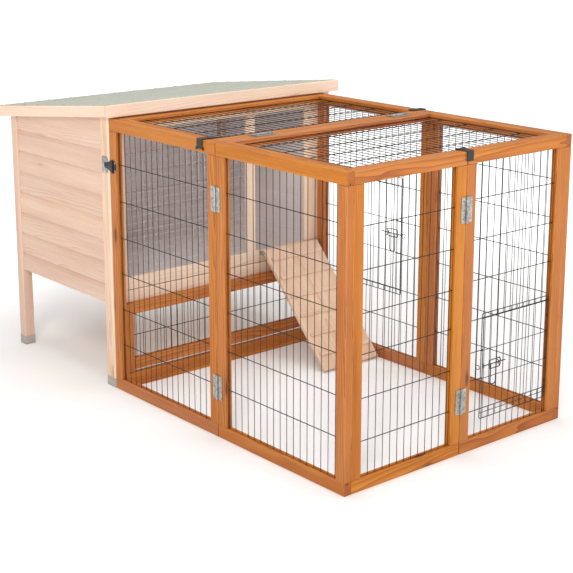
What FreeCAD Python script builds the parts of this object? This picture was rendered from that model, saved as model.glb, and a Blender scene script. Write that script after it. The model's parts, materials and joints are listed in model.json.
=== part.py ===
"""Raised rabbit hutch with a folding wire-panel run.

Millimetres, +Z up.  The run stands in front (towards -Y), the hutch on legs
behind it (towards +Y).  Layout coordinates below are taken from the run's
near left bottom corner; every placement then subtracts origin_x, origin_y so
that the row origin is under the middle of the whole object, on the ground.
"""
import FreeCAD, Part
import math
import os
import re

V = FreeCAD.Vector
doc = FreeCAD.newDocument("rabbit_hutch")

# ---------------------------------------------------------------- sizes
sheet = doc.addObject("Spreadsheet::Sheet", "Sizes")
P = {}
_row = [0]


def size(alias, value, note):
    _row[0] += 1
    r = str(_row[0])
    sheet.set("A" + r, note)
    sheet.set("B" + r, repr(float(value)))
    sheet.setAlias("B" + r, alias)
    P[alias] = float(value)


size("origin_x", 484, "row origin from the run's left face")
size("origin_y", 930, "row origin from the run's front face")
size("run_wide", 919, "run width over the side walls")
size("run_high", 914, "run height")
size("wall_thick", 24, "thickness of every run panel")
size("rail_wide", 38, "face width of rails and stiles")
size("seam_y", 571, "where the side walls fold")
size("seam_x", 459.5, "middle of the end wall")
size("seam_gap", 2, "gap between two folding panels")
size("gate_end", 1135, "rear end of the side walls")
size("mesh_set", 8.9, "mesh below the outer face of its frame")
size("wire_wide", 2.0, "wire bar section of the panels")
size("pitch_side", 29.75, "upright wires of the side walls")
size("pitch_end", 28.45, "upright wires of the end wall, lids and low panel")
size("row_pitch", 121.67, "cross wires")
size("lid_side", 24, "lid side rail width")
size("lid_front", 17, "lid front rail width")
size("lid_seam_y", 586, "hinge line of the lids")
size("lid_clear", 2, "clearance round the lids")
size("lid_mesh_set", 12, "lid mesh below the top")
size("sill_high", 48, "rear sill height")
size("sill_y", 1106, "rear sill front face")
size("low_bot", 58, "low panel bottom rail underside")
size("low_top", 290, "low panel top")
size("low_y", 1112, "low panel front face")
size("low_side", 36, "low panel stile width")
size("hutch_front", 1138, "front face of the hutch")
size("hutch_left", 0, "outer left face of the hutch legs")
size("hutch_right", 952, "outer right face of the hutch legs")
size("leg_wide", 38, "leg section, both ways")
size("face_left", 58, "left corner facing width")
size("face_right", 46, "right corner facing width")
size("hutch_rear", 1776, "rear face of the rear legs")
size("front_leg_top", 940, "top of the front legs")
size("rear_leg_top", 872, "top of the rear legs")
size("cap_high", 32, "leg cap height")
size("cap_wall", 1.5, "leg cap wall")
size("cap_floor", 3, "leg cap floor")
size("board_thick", 12, "cladding board thickness")
size("clad_set", 4, "cladding set in from the leg face")
size("floor_top", 328, "hutch floor upper face")
size("clad_bottom", 285, "underside of the side cladding")
size("clad_pitch", 75.3, "cladding board height")
size("clad_first", 351.6, "first cladding joint")
size("roof_left", -16, "roof left edge")
size("roof_right", 984, "roof right edge")
size("roof_front_y", 1124, "roof front edge")
size("roof_rear_y", 1866, "roof rear edge")
size("roof_front_z", 962, "roof top at the front edge")
size("roof_slope", 6.545, "roof slope in degrees")
size("deck_thick", 9, "roof deck thickness")
size("felt_thick", 3, "roofing felt thickness")
size("trim_deep", 40, "roof trim height")
size("fascia_deep", 43, "front fascia height")
size("ramp_left", 632, "ramp left edge")
size("ramp_wide", 253, "ramp width")
size("ramp_long", 497, "ramp length")
size("ramp_thick", 15, "ramp thickness")
size("ramp_slope", 47.5, "ramp slope in degrees")
size("ramp_foot_y", 798, "ramp foot")
size("leaf_long", 76, "butt hinge height")
size("leaf_wide", 22, "one hinge leaf from the pin axis")
size("leaf_thick", 2, "hinge leaf thickness")
size("barrel_rad", 3.5, "hinge barrel radius")
size("pin_rad", 1.5, "hinge pin radius")
size("pin_play", 0.05, "radial play on the hinge pins")
size("rod_rad", 1.7, "latch rod radius")
size("rod_play", 0.3, "radial play of the latch rods")
size("latch_throw", 22, "latch travel")
doc.recompute()

OX, OY = P["origin_x"], P["origin_y"]
_names = sorted(P, key=len, reverse=True)
_pat = re.compile(r"\b(" + "|".join(_names) + r")\b")


def ex(e):
    """Turn 'rail_wide * 2' into the sheet's own cell names."""
    if not isinstance(e, str):
        return repr(float(e))
    return _pat.sub(lambda m: "Sizes." + m.group(1), e)


made = {}      # node name -> object


def box(x, y, z, dx, dy, dz):
    """A box from its lowest corner; every number may be an expression."""
    b = doc.addObject("Part::Box", "box")
    for prop, e in (("Length", dx), ("Width", dy), ("Height", dz)):
        b.setExpression(prop, ex(e))
    b.setExpression("Placement.Base.x", "(" + ex(x) + ") - Sizes.origin_x")
    b.setExpression("Placement.Base.y", "(" + ex(y) + ") - Sizes.origin_y")
    b.setExpression("Placement.Base.z", ex(z))
    return b


def cyl(x, y, z, radius, height, axis="Z"):
    """A cylinder that starts at x, y, z and runs along +axis."""
    c = doc.addObject("Part::Cylinder", "cyl")
    c.setExpression("Radius", ex(radius))
    c.setExpression("Height", ex(height))
    if axis == "X":
        c.Placement = FreeCAD.Placement(V(), FreeCAD.Rotation(V(0, 1, 0), 90))
    elif axis == "Y":
        c.Placement = FreeCAD.Placement(V(), FreeCAD.Rotation(V(1, 0, 0), -90))
    c.setExpression("Placement.Base.x", "(" + ex(x) + ") - Sizes.origin_x")
    c.setExpression("Placement.Base.y", "(" + ex(y) + ") - Sizes.origin_y")
    c.setExpression("Placement.Base.z", ex(z))
    return c


def fuse(parts):
    if len(parts) == 1:
        return parts[0]
    f = doc.addObject("Part::MultiFuse", "fuse")
    f.Shapes = parts
    f.Refine = True
    return f


def cut(base, tool):
    c = doc.addObject("Part::Cut", "cut")
    c.Base = base
    c.Tool = tool
    c.Refine = True
    return c


def node(name, parts):
    """Name a node: one object, or a group of separate solids."""
    if not isinstance(parts, list):
        parts = [parts]
    if len(parts) == 1:
        o = parts[0]
    else:
        o = doc.addObject("Part::Compound", "group")
        o.Links = parts
    o.Label = name
    made[name] = o
    return o


# --------------------------------------------------------- wire grilles
ROT_SIDE = FreeCAD.Rotation(V(1, 1, 1), 120)    # local x,y,z -> +Y,+Z,+X
ROT_END = FreeCAD.Rotation(V(1, 0, 0), 90)      # local x,y,z -> +X,+Z,-Y
ROT_TOP = FreeCAD.Rotation()                    # local x,y,z -> +X,+Y,+Z


def rect(x0, y0, x1, y1):
    a, b, c, d = V(x0, y0, 0), V(x1, y0, 0), V(x1, y1, 0), V(x0, y1, 0)
    return [Part.LineSegment(a, b), Part.LineSegment(b, c),
            Part.LineSegment(c, d), Part.LineSegment(d, a)]


def grille(u0, v0, u1, v1, ups, rows, rot, base, w=None):
    """A flat welded grille: a padded sketch with one hole per cell.

    u0..v1 is the outline, ups and rows are the wires' middle lines."""
    w = P["wire_wide"] if w is None else w
    us = [u0 + w / 2] + [u for u in ups if u0 + 1.6 * w < u < u1 - 1.6 * w] + [u1 - w / 2]
    vs = [v0 + w / 2] + [v for v in rows if v0 + 1.6 * w < v < v1 - 1.6 * w] + [v1 - w / 2]
    geo = rect(u0, v0, u1, v1)
    for i in range(len(us) - 1):
        for j in range(len(vs) - 1):
            geo += rect(us[i] + w / 2, vs[j] + w / 2, us[i + 1] - w / 2, vs[j + 1] - w / 2)
    body = doc.addObject("PartDesign::Body", "grille")
    sk = body.newObject("Sketcher::SketchObject", "cells")
    plane = [o for o in body.Origin.OriginFeatures if o.Role == "XY_Plane"][0]
    sk.AttachmentSupport = [(plane, "")]
    sk.MapMode = "FlatFace"
    sk.addGeometry(geo, False)
    pad = body.newObject("PartDesign::Pad", "wires")
    pad.Profile = sk
    pad.setExpression("Length", ex("wire_wide"))
    body.Placement = FreeCAD.Placement(V(base[0] - OX, base[1] - OY, base[2]), rot)
    return body


def steps(first, pitch, last):
    out = []
    while first <= last + 1e-6:
        out.append(first)
        first += pitch
    return out


ROWS = [160 + P["row_pitch"] * k for k in range(6)]      # cross wires' heights
R, H, T = P["rail_wide"], P["run_high"], P["wall_thick"]
B, MS = P["wire_wide"], P["mesh_set"]

# ------------------------------------------------------ run: side walls
SIDE = {
    # name: (x of the panel, first y, last y, x of the mesh's inner-most face)
    "left_front": ("0", "0", "seam_y - seam_gap / 2"),
    "left_rear": ("0", "seam_y + seam_gap / 2", "gate_end"),
    "right_front": ("run_wide - wall_thick", "0", "seam_y - seam_gap / 2"),
    "right_rear": ("run_wide - wall_thick", "seam_y + seam_gap / 2", "gate_end"),
}
YS = P["seam_y"] - P["seam_gap"] / 2
YR = P["seam_y"] + P["seam_gap"] / 2
for name, (x, y0, y1) in SIDE.items():
    long = "(" + y1 + ") - (" + y0 + ")"
    tall = "run_high - 2 * rail_wide"
    node(name + "_frame", [
        box(x, y0, 0, "wall_thick", long, "rail_wide"),
        box(x, y0, "run_high - rail_wide", "wall_thick", long, "rail_wide"),
        box(x, y0, "rail_wide", "wall_thick", "rail_wide", tall),
        box(x, "(" + y1 + ") - rail_wide", "rail_wide", "wall_thick", "rail_wide", tall)])

XL = MS                                   # left mesh starts here
XR = P["run_wide"] - MS - B               # right mesh starts here
PS = P["pitch_side"]
node("left_front_mesh", grille(R, R, YS - R, H - R, steps(49.5, PS, YS - R), ROWS, ROT_SIDE, (XL, 0, 0)))
node("right_front_mesh", grille(R, R, YS - R, H - R, steps(49.5, PS, YS - R), ROWS, ROT_SIDE, (XR, 0, 0)))
node("left_rear_mesh", grille(YR + R, R, P["gate_end"] - R, H - R,
                              steps(613.75, PS, P["gate_end"] - R), ROWS, ROT_SIDE, (XL, 0, 0)))
# the right rear grille leaves a doorway: four flat pieces round it
SD = {"y0": 732.75, "y1": 1000.5, "z0": 268.0, "z1": 638.0}      # doorway
gr = steps(613.75, PS, P["gate_end"] - R)
ye = P["gate_end"] - R
rows_r = [153, 268, 398, 513, 638, 765]
side_keeper = cut(box(P["run_wide"] - MS, 700, 457, 12.4, 6, 8),
                  cyl(P["run_wide"] - 0.5, 699, 461, "rod_rad + rod_play", 8, "Y"))


def eye(x, y, z, toward, high=8.0):
    """A hinge loop for a wire door: a ring on the axis, with a foot towards the mesh."""
    ring = cyl(x, y, z, 3.0, high)
    if toward[0]:
        foot = box(x - 3.3, y - 2, z, 2.2, 4, high)
    else:
        foot = box(x - 2, y + 1.1, z, 4, 2.2, high)
    return cut(fuse([ring, foot]), cyl(x, y, z, 1.56, high))


DX = P["run_wide"] - 5.6                  # side door hinge axis, x
node("right_rear_mesh", [
    grille(YR + R, R, ye, SD["z0"], gr, rows_r, ROT_SIDE, (XR, 0, 0)),
    grille(YR + R, SD["z1"], ye, H - R, gr, rows_r, ROT_SIDE, (XR, 0, 0)),
    grille(YR + R, SD["z0"], SD["y0"], SD["z1"], gr, rows_r, ROT_SIDE, (XR, 0, 0)),
    grille(SD["y1"], SD["z0"], ye, SD["z1"], gr, rows_r, ROT_SIDE, (XR, 0, 0)),
    side_keeper,
    eye(DX, SD["y1"], 300, (1, 0)), eye(DX, SD["y1"], 590, (1, 0))])

# ------------------------------------------------------- run: end wall
END = {
    "end_left": ("wall_thick", "seam_x - seam_gap / 2"),
    "end_right": ("seam_x + seam_gap / 2", "run_wide - wall_thick"),
}
for name, (x0, x1) in END.items():
    long = "(" + x1 + ") - (" + x0 + ")"
    tall = "run_high - 2 * rail_wide"
    node(name + "_frame", [
        box(x0, 0, 0, long, "wall_thick", "rail_wide"),
        box(x0, 0, "run_high - rail_wide", long, "wall_thick", "rail_wide"),
        box(x0, 0, "rail_wide", "rail_wide", "wall_thick", tall),
        box("(" + x1 + ") - rail_wide", 0, "rail_wide", "rail_wide", "wall_thick", tall)])
PE = P["pitch_end"]
YM = MS + B                                # the end mesh's inner face
rows_e = [142, 267.6, 395, 512, 634, 756]
node("end_left_mesh", grille(T + R, R, P["seam_x"] - 1 - R, H - R,
                             steps(67.5, PE, 421), rows_e, ROT_END, (0, YM, 0)))
ED = {"x0": 562.5, "x1": 847.0, "z0": 118.0, "z1": 402.5}        # doorway
ge = steps(505.6, PE, 857)
xa, xb = P["seam_x"] + 1 + R, P["run_wide"] - T - R
rows_d = [118, 402.5, 524, 646, 768]
end_keeper = cut(box(531, -3.5, 252, 6, 12.4, 8),
                 cyl(530, 0.5, 256, "rod_rad + rod_play", 8, "X"))
node("end_right_mesh", [
    grille(xa, R, xb, ED["z0"], ge, rows_d, ROT_END, (0, YM, 0)),
    grille(xa, ED["z1"], xb, H - R, ge, rows_d, ROT_END, (0, YM, 0)),
    grille(xa, ED["z0"], ED["x0"], ED["z1"], ge, [215, 303], ROT_END, (0, YM, 0)),
    grille(ED["x1"], ED["z0"], xb, ED["z1"], [], [215, 303], ROT_END, (0, YM, 0)),
    end_keeper,
    eye(ED["x1"], 5.6, 140, (0, 1)), eye(ED["x1"], 5.6, 352, (0, 1))])

# ------------------------------------------------------- wire doors
# end door: hangs on its right edge, in front of the end wall's mesh
ed_rod = (0.5, 256.0)                      # y, z of the latch rod
end_door_wires = grille(548, 88, 848, 420,
                        [562.5 + PE * k for k in range(10)], [107, 215, 303, 402.5],
                        ROT_END, (0, 6.6, 0))
end_door_edge = cyl(847, 5.6, 88, 1.5, 332)
guide_a = cut(box(552, -3.5, 252, 5, 8.1, 8), cyl(551, 0.5, 256, "rod_rad + rod_play", 7, "X"))
guide_b = cut(box(618, -3.5, 252, 5, 8.1, 8), cyl(617, 0.5, 256, "rod_rad + rod_play", 7, "X"))
node("end_wire_door", [fuse([end_door_wires, end_door_edge]), guide_a, guide_b])
node("end_latch_bolt", fuse([
    cyl(551, 0.5, 256, "rod_rad", 102, "X"),
    cyl(588, 0.5, 191, "rod_rad", 65),
    cyl(604, 0.5, 191, "rod_rad", 65),
    cyl(586.3, 0.5, 191, "rod_rad", 19.4, "X")]))

side_door_wires = grille(710, 247, 1001.5, 667,
                         [732.75 + PS * k for k in range(9)], [268, 398, 513, 638],
                         ROT_SIDE, (P["run_wide"] - 6.6, 0, 0))
side_door_edge = cyl(DX, 1000.5, 247, 1.5, 420)
sx = P["run_wide"] - 0.5
guide_c = cut(box(P["run_wide"] - 4.6, 714, 457, 8.1, 5, 8), cyl(sx, 713, 461, "rod_rad + rod_play", 7, "Y"))
guide_d = cut(box(P["run_wide"] - 4.6, 781, 457, 8.1, 5, 8), cyl(sx, 780, 461, "rod_rad + rod_play", 7, "Y"))
node("side_wire_door", [fuse([side_door_wires, side_door_edge]), guide_c, guide_d])
node("side_latch_bolt", fuse([
    cyl(sx, 713, 461, "rod_rad", 103, "Y"),
    cyl(sx, 750, 396, "rod_rad", 65),
    cyl(sx, 774, 396, "rod_rad", 65),
    cyl(sx, 748.3, 396, "rod_rad", 27.4, "Y")]))

# ------------------------------------------------------- lids
lx = "wall_thick + lid_clear"
lw = "run_wide - 2 * (wall_thick + lid_clear)"
lz = "run_high - wall_thick"
fy0 = "wall_thick + lid_clear"
fy1 = "lid_seam_y - seam_gap / 2"
ry0 = "lid_seam_y + seam_gap / 2"
ry1 = "gate_end - lid_clear"
node("front_lid_frame", [
    box(lx, fy0, lz, lw, "lid_front", "wall_thick"),
    box(lx, fy1 + " - rail_wide", lz, lw, "rail_wide", "wall_thick"),
    box(lx, fy0 + " + lid_front", lz, "lid_side", fy1 + " - rail_wide - (" + fy0 + " + lid_front)", "wall_thick"),
    box("run_wide - wall_thick - lid_clear - lid_side", fy0 + " + lid_front", lz, "lid_side",
        fy1 + " - rail_wide - (" + fy0 + " + lid_front)", "wall_thick")])
node("rear_lid_frame", [
    box(lx, ry0, lz, lw, "rail_wide", "wall_thick"),
    box(lx, ry1 + " - rail_wide", lz, lw, "rail_wide", "wall_thick"),
    box(lx, ry0 + " + rail_wide", lz, "lid_side", ry1 + " - rail_wide - (" + ry0 + " + rail_wide)", "wall_thick"),
    box("run_wide - wall_thick - lid_clear - lid_side", ry0 + " + rail_wide", lz, "lid_side",
        ry1 + " - rail_wide - (" + ry0 + " + rail_wide)", "wall_thick")])
lid_x0, lid_x1 = 26 + 24, 893 - 24
lid_ups = steps(67.5, PE, lid_x1)
LZ = H - P["lid_mesh_set"] - B
node("front_lid_mesh", grille(lid_x0, 43, lid_x1, 547, lid_ups, [160, 272, 384, 496], ROT_TOP, (0, 0, LZ)))
node("rear_lid_mesh", grille(lid_x0, 625, lid_x1, P["gate_end"] - 2 - R, lid_ups, [700, 812, 924, 1036], ROT_TOP, (0, 0, LZ)))

# ------------------------------------------------------- rear of the run
node("rear_sill", box(lx, "sill_y", 0, lw, "wall_thick", "sill_high"))
node("low_panel_frame", [
    box("wall_thick + lid_clear + low_side", "low_y", "low_bot", "run_wide - 2 * (wall_thick + lid_clear + low_side)", "wall_thick", "rail_wide"),
    box("wall_thick + lid_clear + low_side", "low_y", "low_top - rail_wide", "run_wide - 2 * (wall_thick + lid_clear + low_side)", "wall_thick", "rail_wide"),
    box(lx, "low_y", "sill_high", "low_side", "wall_thick", "low_top - sill_high"),
    box("run_wide - wall_thick - lid_clear - low_side", "low_y", "sill_high", "low_side", "wall_thick", "low_top - sill_high")])
node("low_panel_mesh", grille(62, 96, 857, 252, steps(76, PE, 857), [176], ROT_END, (0, P["low_y"] + YM, 0)))

# ------------------------------------------------------- butt hinges
# master leaves: pin axis on local z, the wood's face at local y = barrel_rad
LL, LW, LT, BR, PR = P["leaf_long"], P["leaf_wide"], P["leaf_thick"], P["barrel_rad"], P["pin_rad"]
KN = LL / 5.0


def lbox(fr, x, y, z, dx, dy, dz):
    """A box in a local frame."""
    b = doc.addObject("Part::Box", "box")
    b.Length, b.Width, b.Height = dx, dy, dz
    b.Placement = fr.multiply(FreeCAD.Placement(V(x, y, z), FreeCAD.Rotation()))
    return b


def lcyl(fr, x, y, z, radius, height, axis="Z"):
    """A cylinder in a local frame; radius may be an expression."""
    c = doc.addObject("Part::Cylinder", "cyl")
    c.setExpression("Radius", ex(radius))
    c.Height = height
    turn = FreeCAD.Rotation(V(1, 0, 0), -90) if axis == "Y" else FreeCAD.Rotation()
    c.Placement = fr.multiply(FreeCAD.Placement(V(x, y, z), turn))
    return c


def leaf(fr, side, knuckles, wide=None, high=None, lift=0.0, holes=True):
    """One hinge leaf.  side is -1 or 1; lift stands the plate off the wood."""
    wide = LW if wide is None else wide
    high = LL if high is None else high
    kn = high / 5.0
    y = BR - LT - lift
    add = [lbox(fr, BR + 0.6 if side > 0 else -wide, y, -high / 2, wide - BR - 0.6, LT, high)]
    for k in knuckles:
        lo = -high / 2 + k * kn + (0.0 if k == 0 else 0.2)
        hi = -high / 2 + (k + 1) * kn - (0.0 if k == 4 else 0.2)
        add.append(lcyl(fr, 0, 0, lo, "barrel_rad", hi - lo))
        add.append(lbox(fr, 0 if side > 0 else -BR - 1.0, y, lo, BR + 1.0, LT, hi - lo))
    take = [lcyl(fr, 0, 0, -high / 2 - 1, "pin_rad + pin_play", high + 2)]
    if holes:
        for k in (-0.34, 0, 0.34):
            take.append(lcyl(fr, side * (BR + wide) / 2, -2, k * high, 2.2, 10, "Y"))
    return cut(fuse(add), fuse(take))


def hinge_pin(fr, high=None):
    high = LL if high is None else high
    return fuse([lcyl(fr, 0, 0, -high / 2 - 0.1, "pin_rad", high + 0.2),
                 lcyl(fr, 0, 0, high / 2, "barrel_rad - 0.6", 1.4),
                 lcyl(fr, 0, 0, -high / 2 - 1.4, "barrel_rad - 0.6", 1.4)])


def frame(xdir, ydir, zdir, at):
    m = FreeCAD.Matrix(xdir[0], ydir[0], zdir[0], at[0] - OX,
                       xdir[1], ydir[1], zdir[1], at[1] - OY,
                       xdir[2], ydir[2], zdir[2], at[2],
                       0, 0, 0, 1)
    return FreeCAD.Placement(m)


LEFT = lambda z: frame((0, 1, 0), (1, 0, 0), (0, 0, -1), (-BR, P["seam_y"], z))
RIGHT = lambda z: frame((0, 1, 0), (-1, 0, 0), (0, 0, 1), (P["run_wide"] + BR, P["seam_y"], z))
FRONT = lambda z: frame((1, 0, 0), (0, 1, 0), (0, 0, 1), (P["seam_x"], -BR, z))
LID = lambda x: frame((0, -1, 0), (0, 0, -1), (1, 0, 0), (x, P["lid_seam_y"], H + BR))
sl = math.radians(P["roof_slope"])
roof_under = P["felt_thick"] + P["deck_thick"]
RAX_Y = P["hutch_rear"] + BR
RAX_Z = P["roof_front_z"] - math.tan(sl) * (RAX_Y - P["roof_front_y"]) - roof_under / math.cos(sl) - BR / math.cos(sl)
ROOF_F = lambda x: frame((0, 0, 1), (0, -1, 0), (1, 0, 0), (x, RAX_Y, RAX_Z))
ROOF_M = lambda x: frame((0, math.cos(sl), -math.sin(sl)), (0, math.sin(sl), math.cos(sl)), (1, 0, 0), (x, RAX_Y, RAX_Z))
WALL_Z = (161.0, 746.0)
END_Z = (168.0, 746.0)
LID_X = (190.0, 762.0)
ROOF_X = (190.0, 770.0)
OUT, IN = (0, 2, 4), (1, 3)
fixed = [leaf(f(z), -1, OUT) for f in (LEFT, RIGHT) for z in WALL_Z]
fixed += [leaf(FRONT(z), -1, OUT) for z in END_Z]
fixed += [leaf(FRONT(z), 1, IN) for z in END_Z]
fixed += [leaf(LID(x), -1, OUT) for x in LID_X]
fixed += [leaf(ROOF_F(x), -1, OUT) for x in ROOF_X]
node("fixed_hinge_leaves", fixed)
node("left_gate_hinge_leaves", [leaf(LEFT(z), 1, IN) for z in WALL_Z])
node("right_gate_hinge_leaves", [leaf(RIGHT(z), 1, IN) for z in WALL_Z])
node("lid_hinge_moving_leaves", [leaf(LID(x), 1, IN) for x in LID_X])
node("roof_hinge_moving_leaves", [leaf(ROOF_M(x), 1, IN) for x in ROOF_X])
node("hinge_pins", [hinge_pin(f(z)) for f in (LEFT, RIGHT) for z in WALL_Z]
     + [hinge_pin(FRONT(z)) for z in END_Z]     + [hinge_pin(LID(x)) for x in LID_X] + [hinge_pin(ROOF_F(x)) for x in ROOF_X])

# ------------------------------------------------------- lid clips, hasp
CLZ = 889.0                                # pivot height of the clips


def side_clip(y, right):
    """A clip that reaches over the lid from a side wall, and its pivot bracket."""
    m = lambda x, dx: P["run_wide"] - x - dx if right else x
    tab = box(m(-4.3, 2), y, CLZ, 2, 26, 28.3)
    plate = box(m(-4.3, 58), y, H + 0.4, 58, 26, 2.9)
    px = P["run_wide"] + 2.7 if right else -2.7
    barrel = cyl(px, y, CLZ, 2.3, 26, "Y")
    clip = cut(fuse([tab, plate, barrel]), cyl(px, y - 1, CLZ, 1.25, 28, "Y"))
    lugs = [box(m(-5.0, 5), y - 4.3, CLZ - 5, 5, 4, 8), box(m(-5.0, 5), y + 26.3, CLZ - 5, 5, 4, 8)]
    return clip, fuse(lugs + [cyl(px, y - 4.3, CLZ, 1.2, 34.6, "Y")])


clip, bracket = side_clip(629, False)
node("left_lid_clip", clip)
node("left_clip_bracket", bracket)
clip, bracket = side_clip(618, True)
node("right_lid_clip", clip)
node("right_clip_bracket", bracket)
# the end clip turns on the lid, and its tab hangs down over the end wall
ez = H + 2.7
node("end_lid_clip", cut(fuse([
    box(453, -4.3, CLZ - 2.4, 26, 2, H + 0.4 + 2.9 - CLZ + 2.4),
    box(453, -4.3, H + 0.4, 26, 40.3, 2.9),
    cyl(453, 36.0, ez, 2.3, 26, "X")]), cyl(452, 36.0, ez, 1.25, 28, "X")))
node("end_clip_bracket", fuse([
    box(448.7, 32.0, H, 4, 8, 5.5), box(479.3, 32.0, H, 4, 8, 5.5),
    cyl(448.7, 36.0, ez, 1.2, 34.6, "X")]))

# hasp: a hinge with one long leaf that lies over a plate on the hutch's leg
HH = 44.0
HASP = frame((0, 1, 0), (1, 0, 0), (0, 0, -1), (-BR, 1116, 761))
node("hasp_base", [leaf(HASP, -1, OUT, 18, HH, 0.0, False), hinge_pin(HASP, HH)])
node("hasp_arm", leaf(HASP, 1, IN, 50, HH, 1.4, False))
node("hasp_plate", box(-1.0, 1146, 733, 1, 36, 56))

# ------------------------------------------------------- hutch frame
legs, caps = [], []
clad_front = "(hutch_front + board_thick)"      # the legs stand behind the facings
for x in ("hutch_left", "hutch_right - leg_wide"):
    for y, top in ((clad_front, "front_leg_top"), ("hutch_rear - leg_wide", "rear_leg_top")):
        legs.append(box(x, y, "cap_floor", "leg_wide", "leg_wide", top + " - cap_floor"))
        front = y == clad_front
        cy = "hutch_front" if front else y
        deep = "leg_wide + board_thick" if front else "leg_wide"
        outer = box(x + " - cap_wall", cy + " - cap_wall", 0, "leg_wide + 2 * cap_wall", deep + " + 2 * cap_wall", "cap_high")
        caps.append(cut(outer, box(x, cy, "cap_floor", "leg_wide", deep, "cap_high")))
node("hutch_legs", legs)
node("leg_caps", caps)
# the facings run down the legs, and widen where the front begins
node("corner_facings", [
    fuse([box("hutch_left", "hutch_front", "cap_floor", "leg_wide", "board_thick", 941),
          box("hutch_left", "hutch_front", 287, "face_left", "board_thick", 657)]),
    fuse([box("hutch_right - leg_wide", "hutch_front", "cap_floor", "leg_wide", "board_thick", 941),
          box("hutch_right - face_right", "hutch_front", 287, "face_right", "board_thick", 657)])])
ix = "hutch_left + leg_wide"                       # between the legs
iw = "hutch_right - hutch_left - 2 * leg_wide"
fx = "hutch_left + face_left"                      # between the facings
fw = "hutch_right - hutch_left - face_left - face_right"
node("hutch_floor", cut(
    box("hutch_left + clad_set + board_thick", clad_front, "floor_top - board_thick",
        "hutch_right - hutch_left - 2 * (clad_set + board_thick)",
        "hutch_rear - clad_set - board_thick - " + clad_front, "board_thick"),
    fuse([box(x, y, 300, "leg_wide", "leg_wide", 60)
          for x in ("hutch_left", "hutch_right - leg_wide")
          for y in (clad_front, "hutch_rear - leg_wide")])))
node("floor_joists", [
    box(ix, y, "floor_top - board_thick - 30", iw, 20, 30)
    for y in (clad_front, "hutch_rear - clad_set - board_thick - 20")])
node("front_boards", [
    box(fx, "hutch_front", 287, fw, "board_thick", 41),
    box(fx, "hutch_front", 331, fw, "board_thick", 43)])
node("front_stiles", [
    box(567, "hutch_front", 374, 39, "board_thick", 492),
    box(836, "hutch_front", 374, "hutch_right - face_right - 836", "board_thick", 492)])
node("top_rails", [
    box(fx, "hutch_front", 866, fw, "board_thick", 78),
    box(ix, "hutch_rear - leg_wide", "rear_leg_top - 38", iw, "leg_wide", 38)])
node("window_mesh", grille(58, 374, 567, 866, steps(83.4, 25.4, 567), steps(399.4, 25.4, 866),
                           ROT_END, (0, P["hutch_front"] + 7, 0)))


def roof_line(y):
    """Height of the roof's underside above the layout's y."""
    return P["roof_front_z"] - math.tan(sl) * (y - P["roof_front_y"]) - roof_under / math.cos(sl)


def side_boards(x):
    y0 = P["hutch_front"] + P["board_thick"] + P["leg_wide"]
    y1 = P["hutch_rear"] - P["leg_wide"]
    joints = [P["clad_first"] + P["clad_pitch"] * k for k in range(7)]
    out = [box(x, y0, "clad_bottom", "board_thick", y1 - y0, joints[0] - P["clad_bottom"])]
    for a, b in zip(joints[:-1], joints[1:]):
        out.append(box(x, y0, a, "board_thick", y1 - y0, b - a))
    # top board, cut to the roof's slope
    w = doc.addObject("Part::Wedge", "top_board")
    w.Xmin, w.Ymin, w.Zmin = 0, 0, 0
    w.Xmax, w.Ymax, w.Zmax = P["board_thick"], y1 - y0, roof_line(y0) - 2 - joints[-1]
    w.X2min, w.Z2min = 0, 0
    w.X2max, w.Z2max = P["board_thick"], roof_line(y1) - 2 - joints[-1]
    w.setExpression("Placement.Base.x", "(" + ex(x) + ") - Sizes.origin_x")
    w.Placement.Base = V(w.Placement.Base.x, y0 - OY, joints[-1])
    w.setExpression("Placement.Base.y", repr(y0) + " - Sizes.origin_y")
    out.append(w)
    return out


node("left_side_boards", side_boards("hutch_left + clad_set"))
node("right_side_boards", side_boards("hutch_right - clad_set - board_thick"))
rear_y = "hutch_rear - clad_set - board_thick"
joints = [P["clad_first"] + P["clad_pitch"] * k for k in range(7)]
rear = [box(ix, rear_y, "clad_bottom", iw, "board_thick", joints[0] - P["clad_bottom"])]
rear += [box(ix, rear_y, a, iw, "board_thick", b - a) for a, b in zip(joints[:-1], joints[1:])]
rear.append(box(ix, rear_y, joints[-1], iw, "board_thick", P["rear_leg_top"] - 38 - joints[-1]))
node("rear_boards", rear)

# ------------------------------------------------------- roof
roof_rot = FreeCAD.Rotation(V(1, 0, 0), -P["roof_slope"])
roof_at = V(-OX, P["roof_front_y"] - OY, P["roof_front_z"])
ROOF = FreeCAD.Placement(roof_at, roof_rot)
RL = (P["roof_rear_y"] - P["roof_front_y"]) / math.cos(sl)


def roof_box(x0, v0, w0, dx, dv, dw):
    """A box in the roof's own tilted frame: x across, v down the slope, w out of it."""
    b = doc.addObject("Part::Box", "roof_piece")
    b.Length, b.Width, b.Height = dx, dv, dw
    b.Placement = ROOF.multiply(FreeCAD.Placement(V(x0, v0, w0), FreeCAD.Rotation()))
    return b


bt = P["board_thick"]
ft, dk = P["felt_thick"], P["deck_thick"]
rl_, rr_ = P["roof_left"], P["roof_right"]
node("roof_felt", roof_box(rl_, 0, -ft, rr_ - rl_, RL, ft))
bb = 15.0                                  # bargeboard thickness
node("roof_deck", roof_box(rl_ + bb, bt, -ft - dk, rr_ - rl_ - 2 * bb, RL - 2 * bt, dk))
node("roof_fascia", [
    roof_box(rl_, 0, -P["fascia_deep"], rr_ - rl_, bt, P["fascia_deep"] - ft),
    roof_box(rl_, RL - bt, -P["trim_deep"], rr_ - rl_, bt, P["trim_deep"] - ft)])
node("roof_bargeboards", [
    roof_box(rl_, bt, -P["trim_deep"], bb, RL - 2 * bt, P["trim_deep"] - ft),
    roof_box(rr_ - bb, bt, -P["trim_deep"], bb, RL - 2 * bt, P["trim_deep"] - ft)])

# ------------------------------------------------------- ramp
ra = math.radians(P["ramp_slope"])
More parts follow.
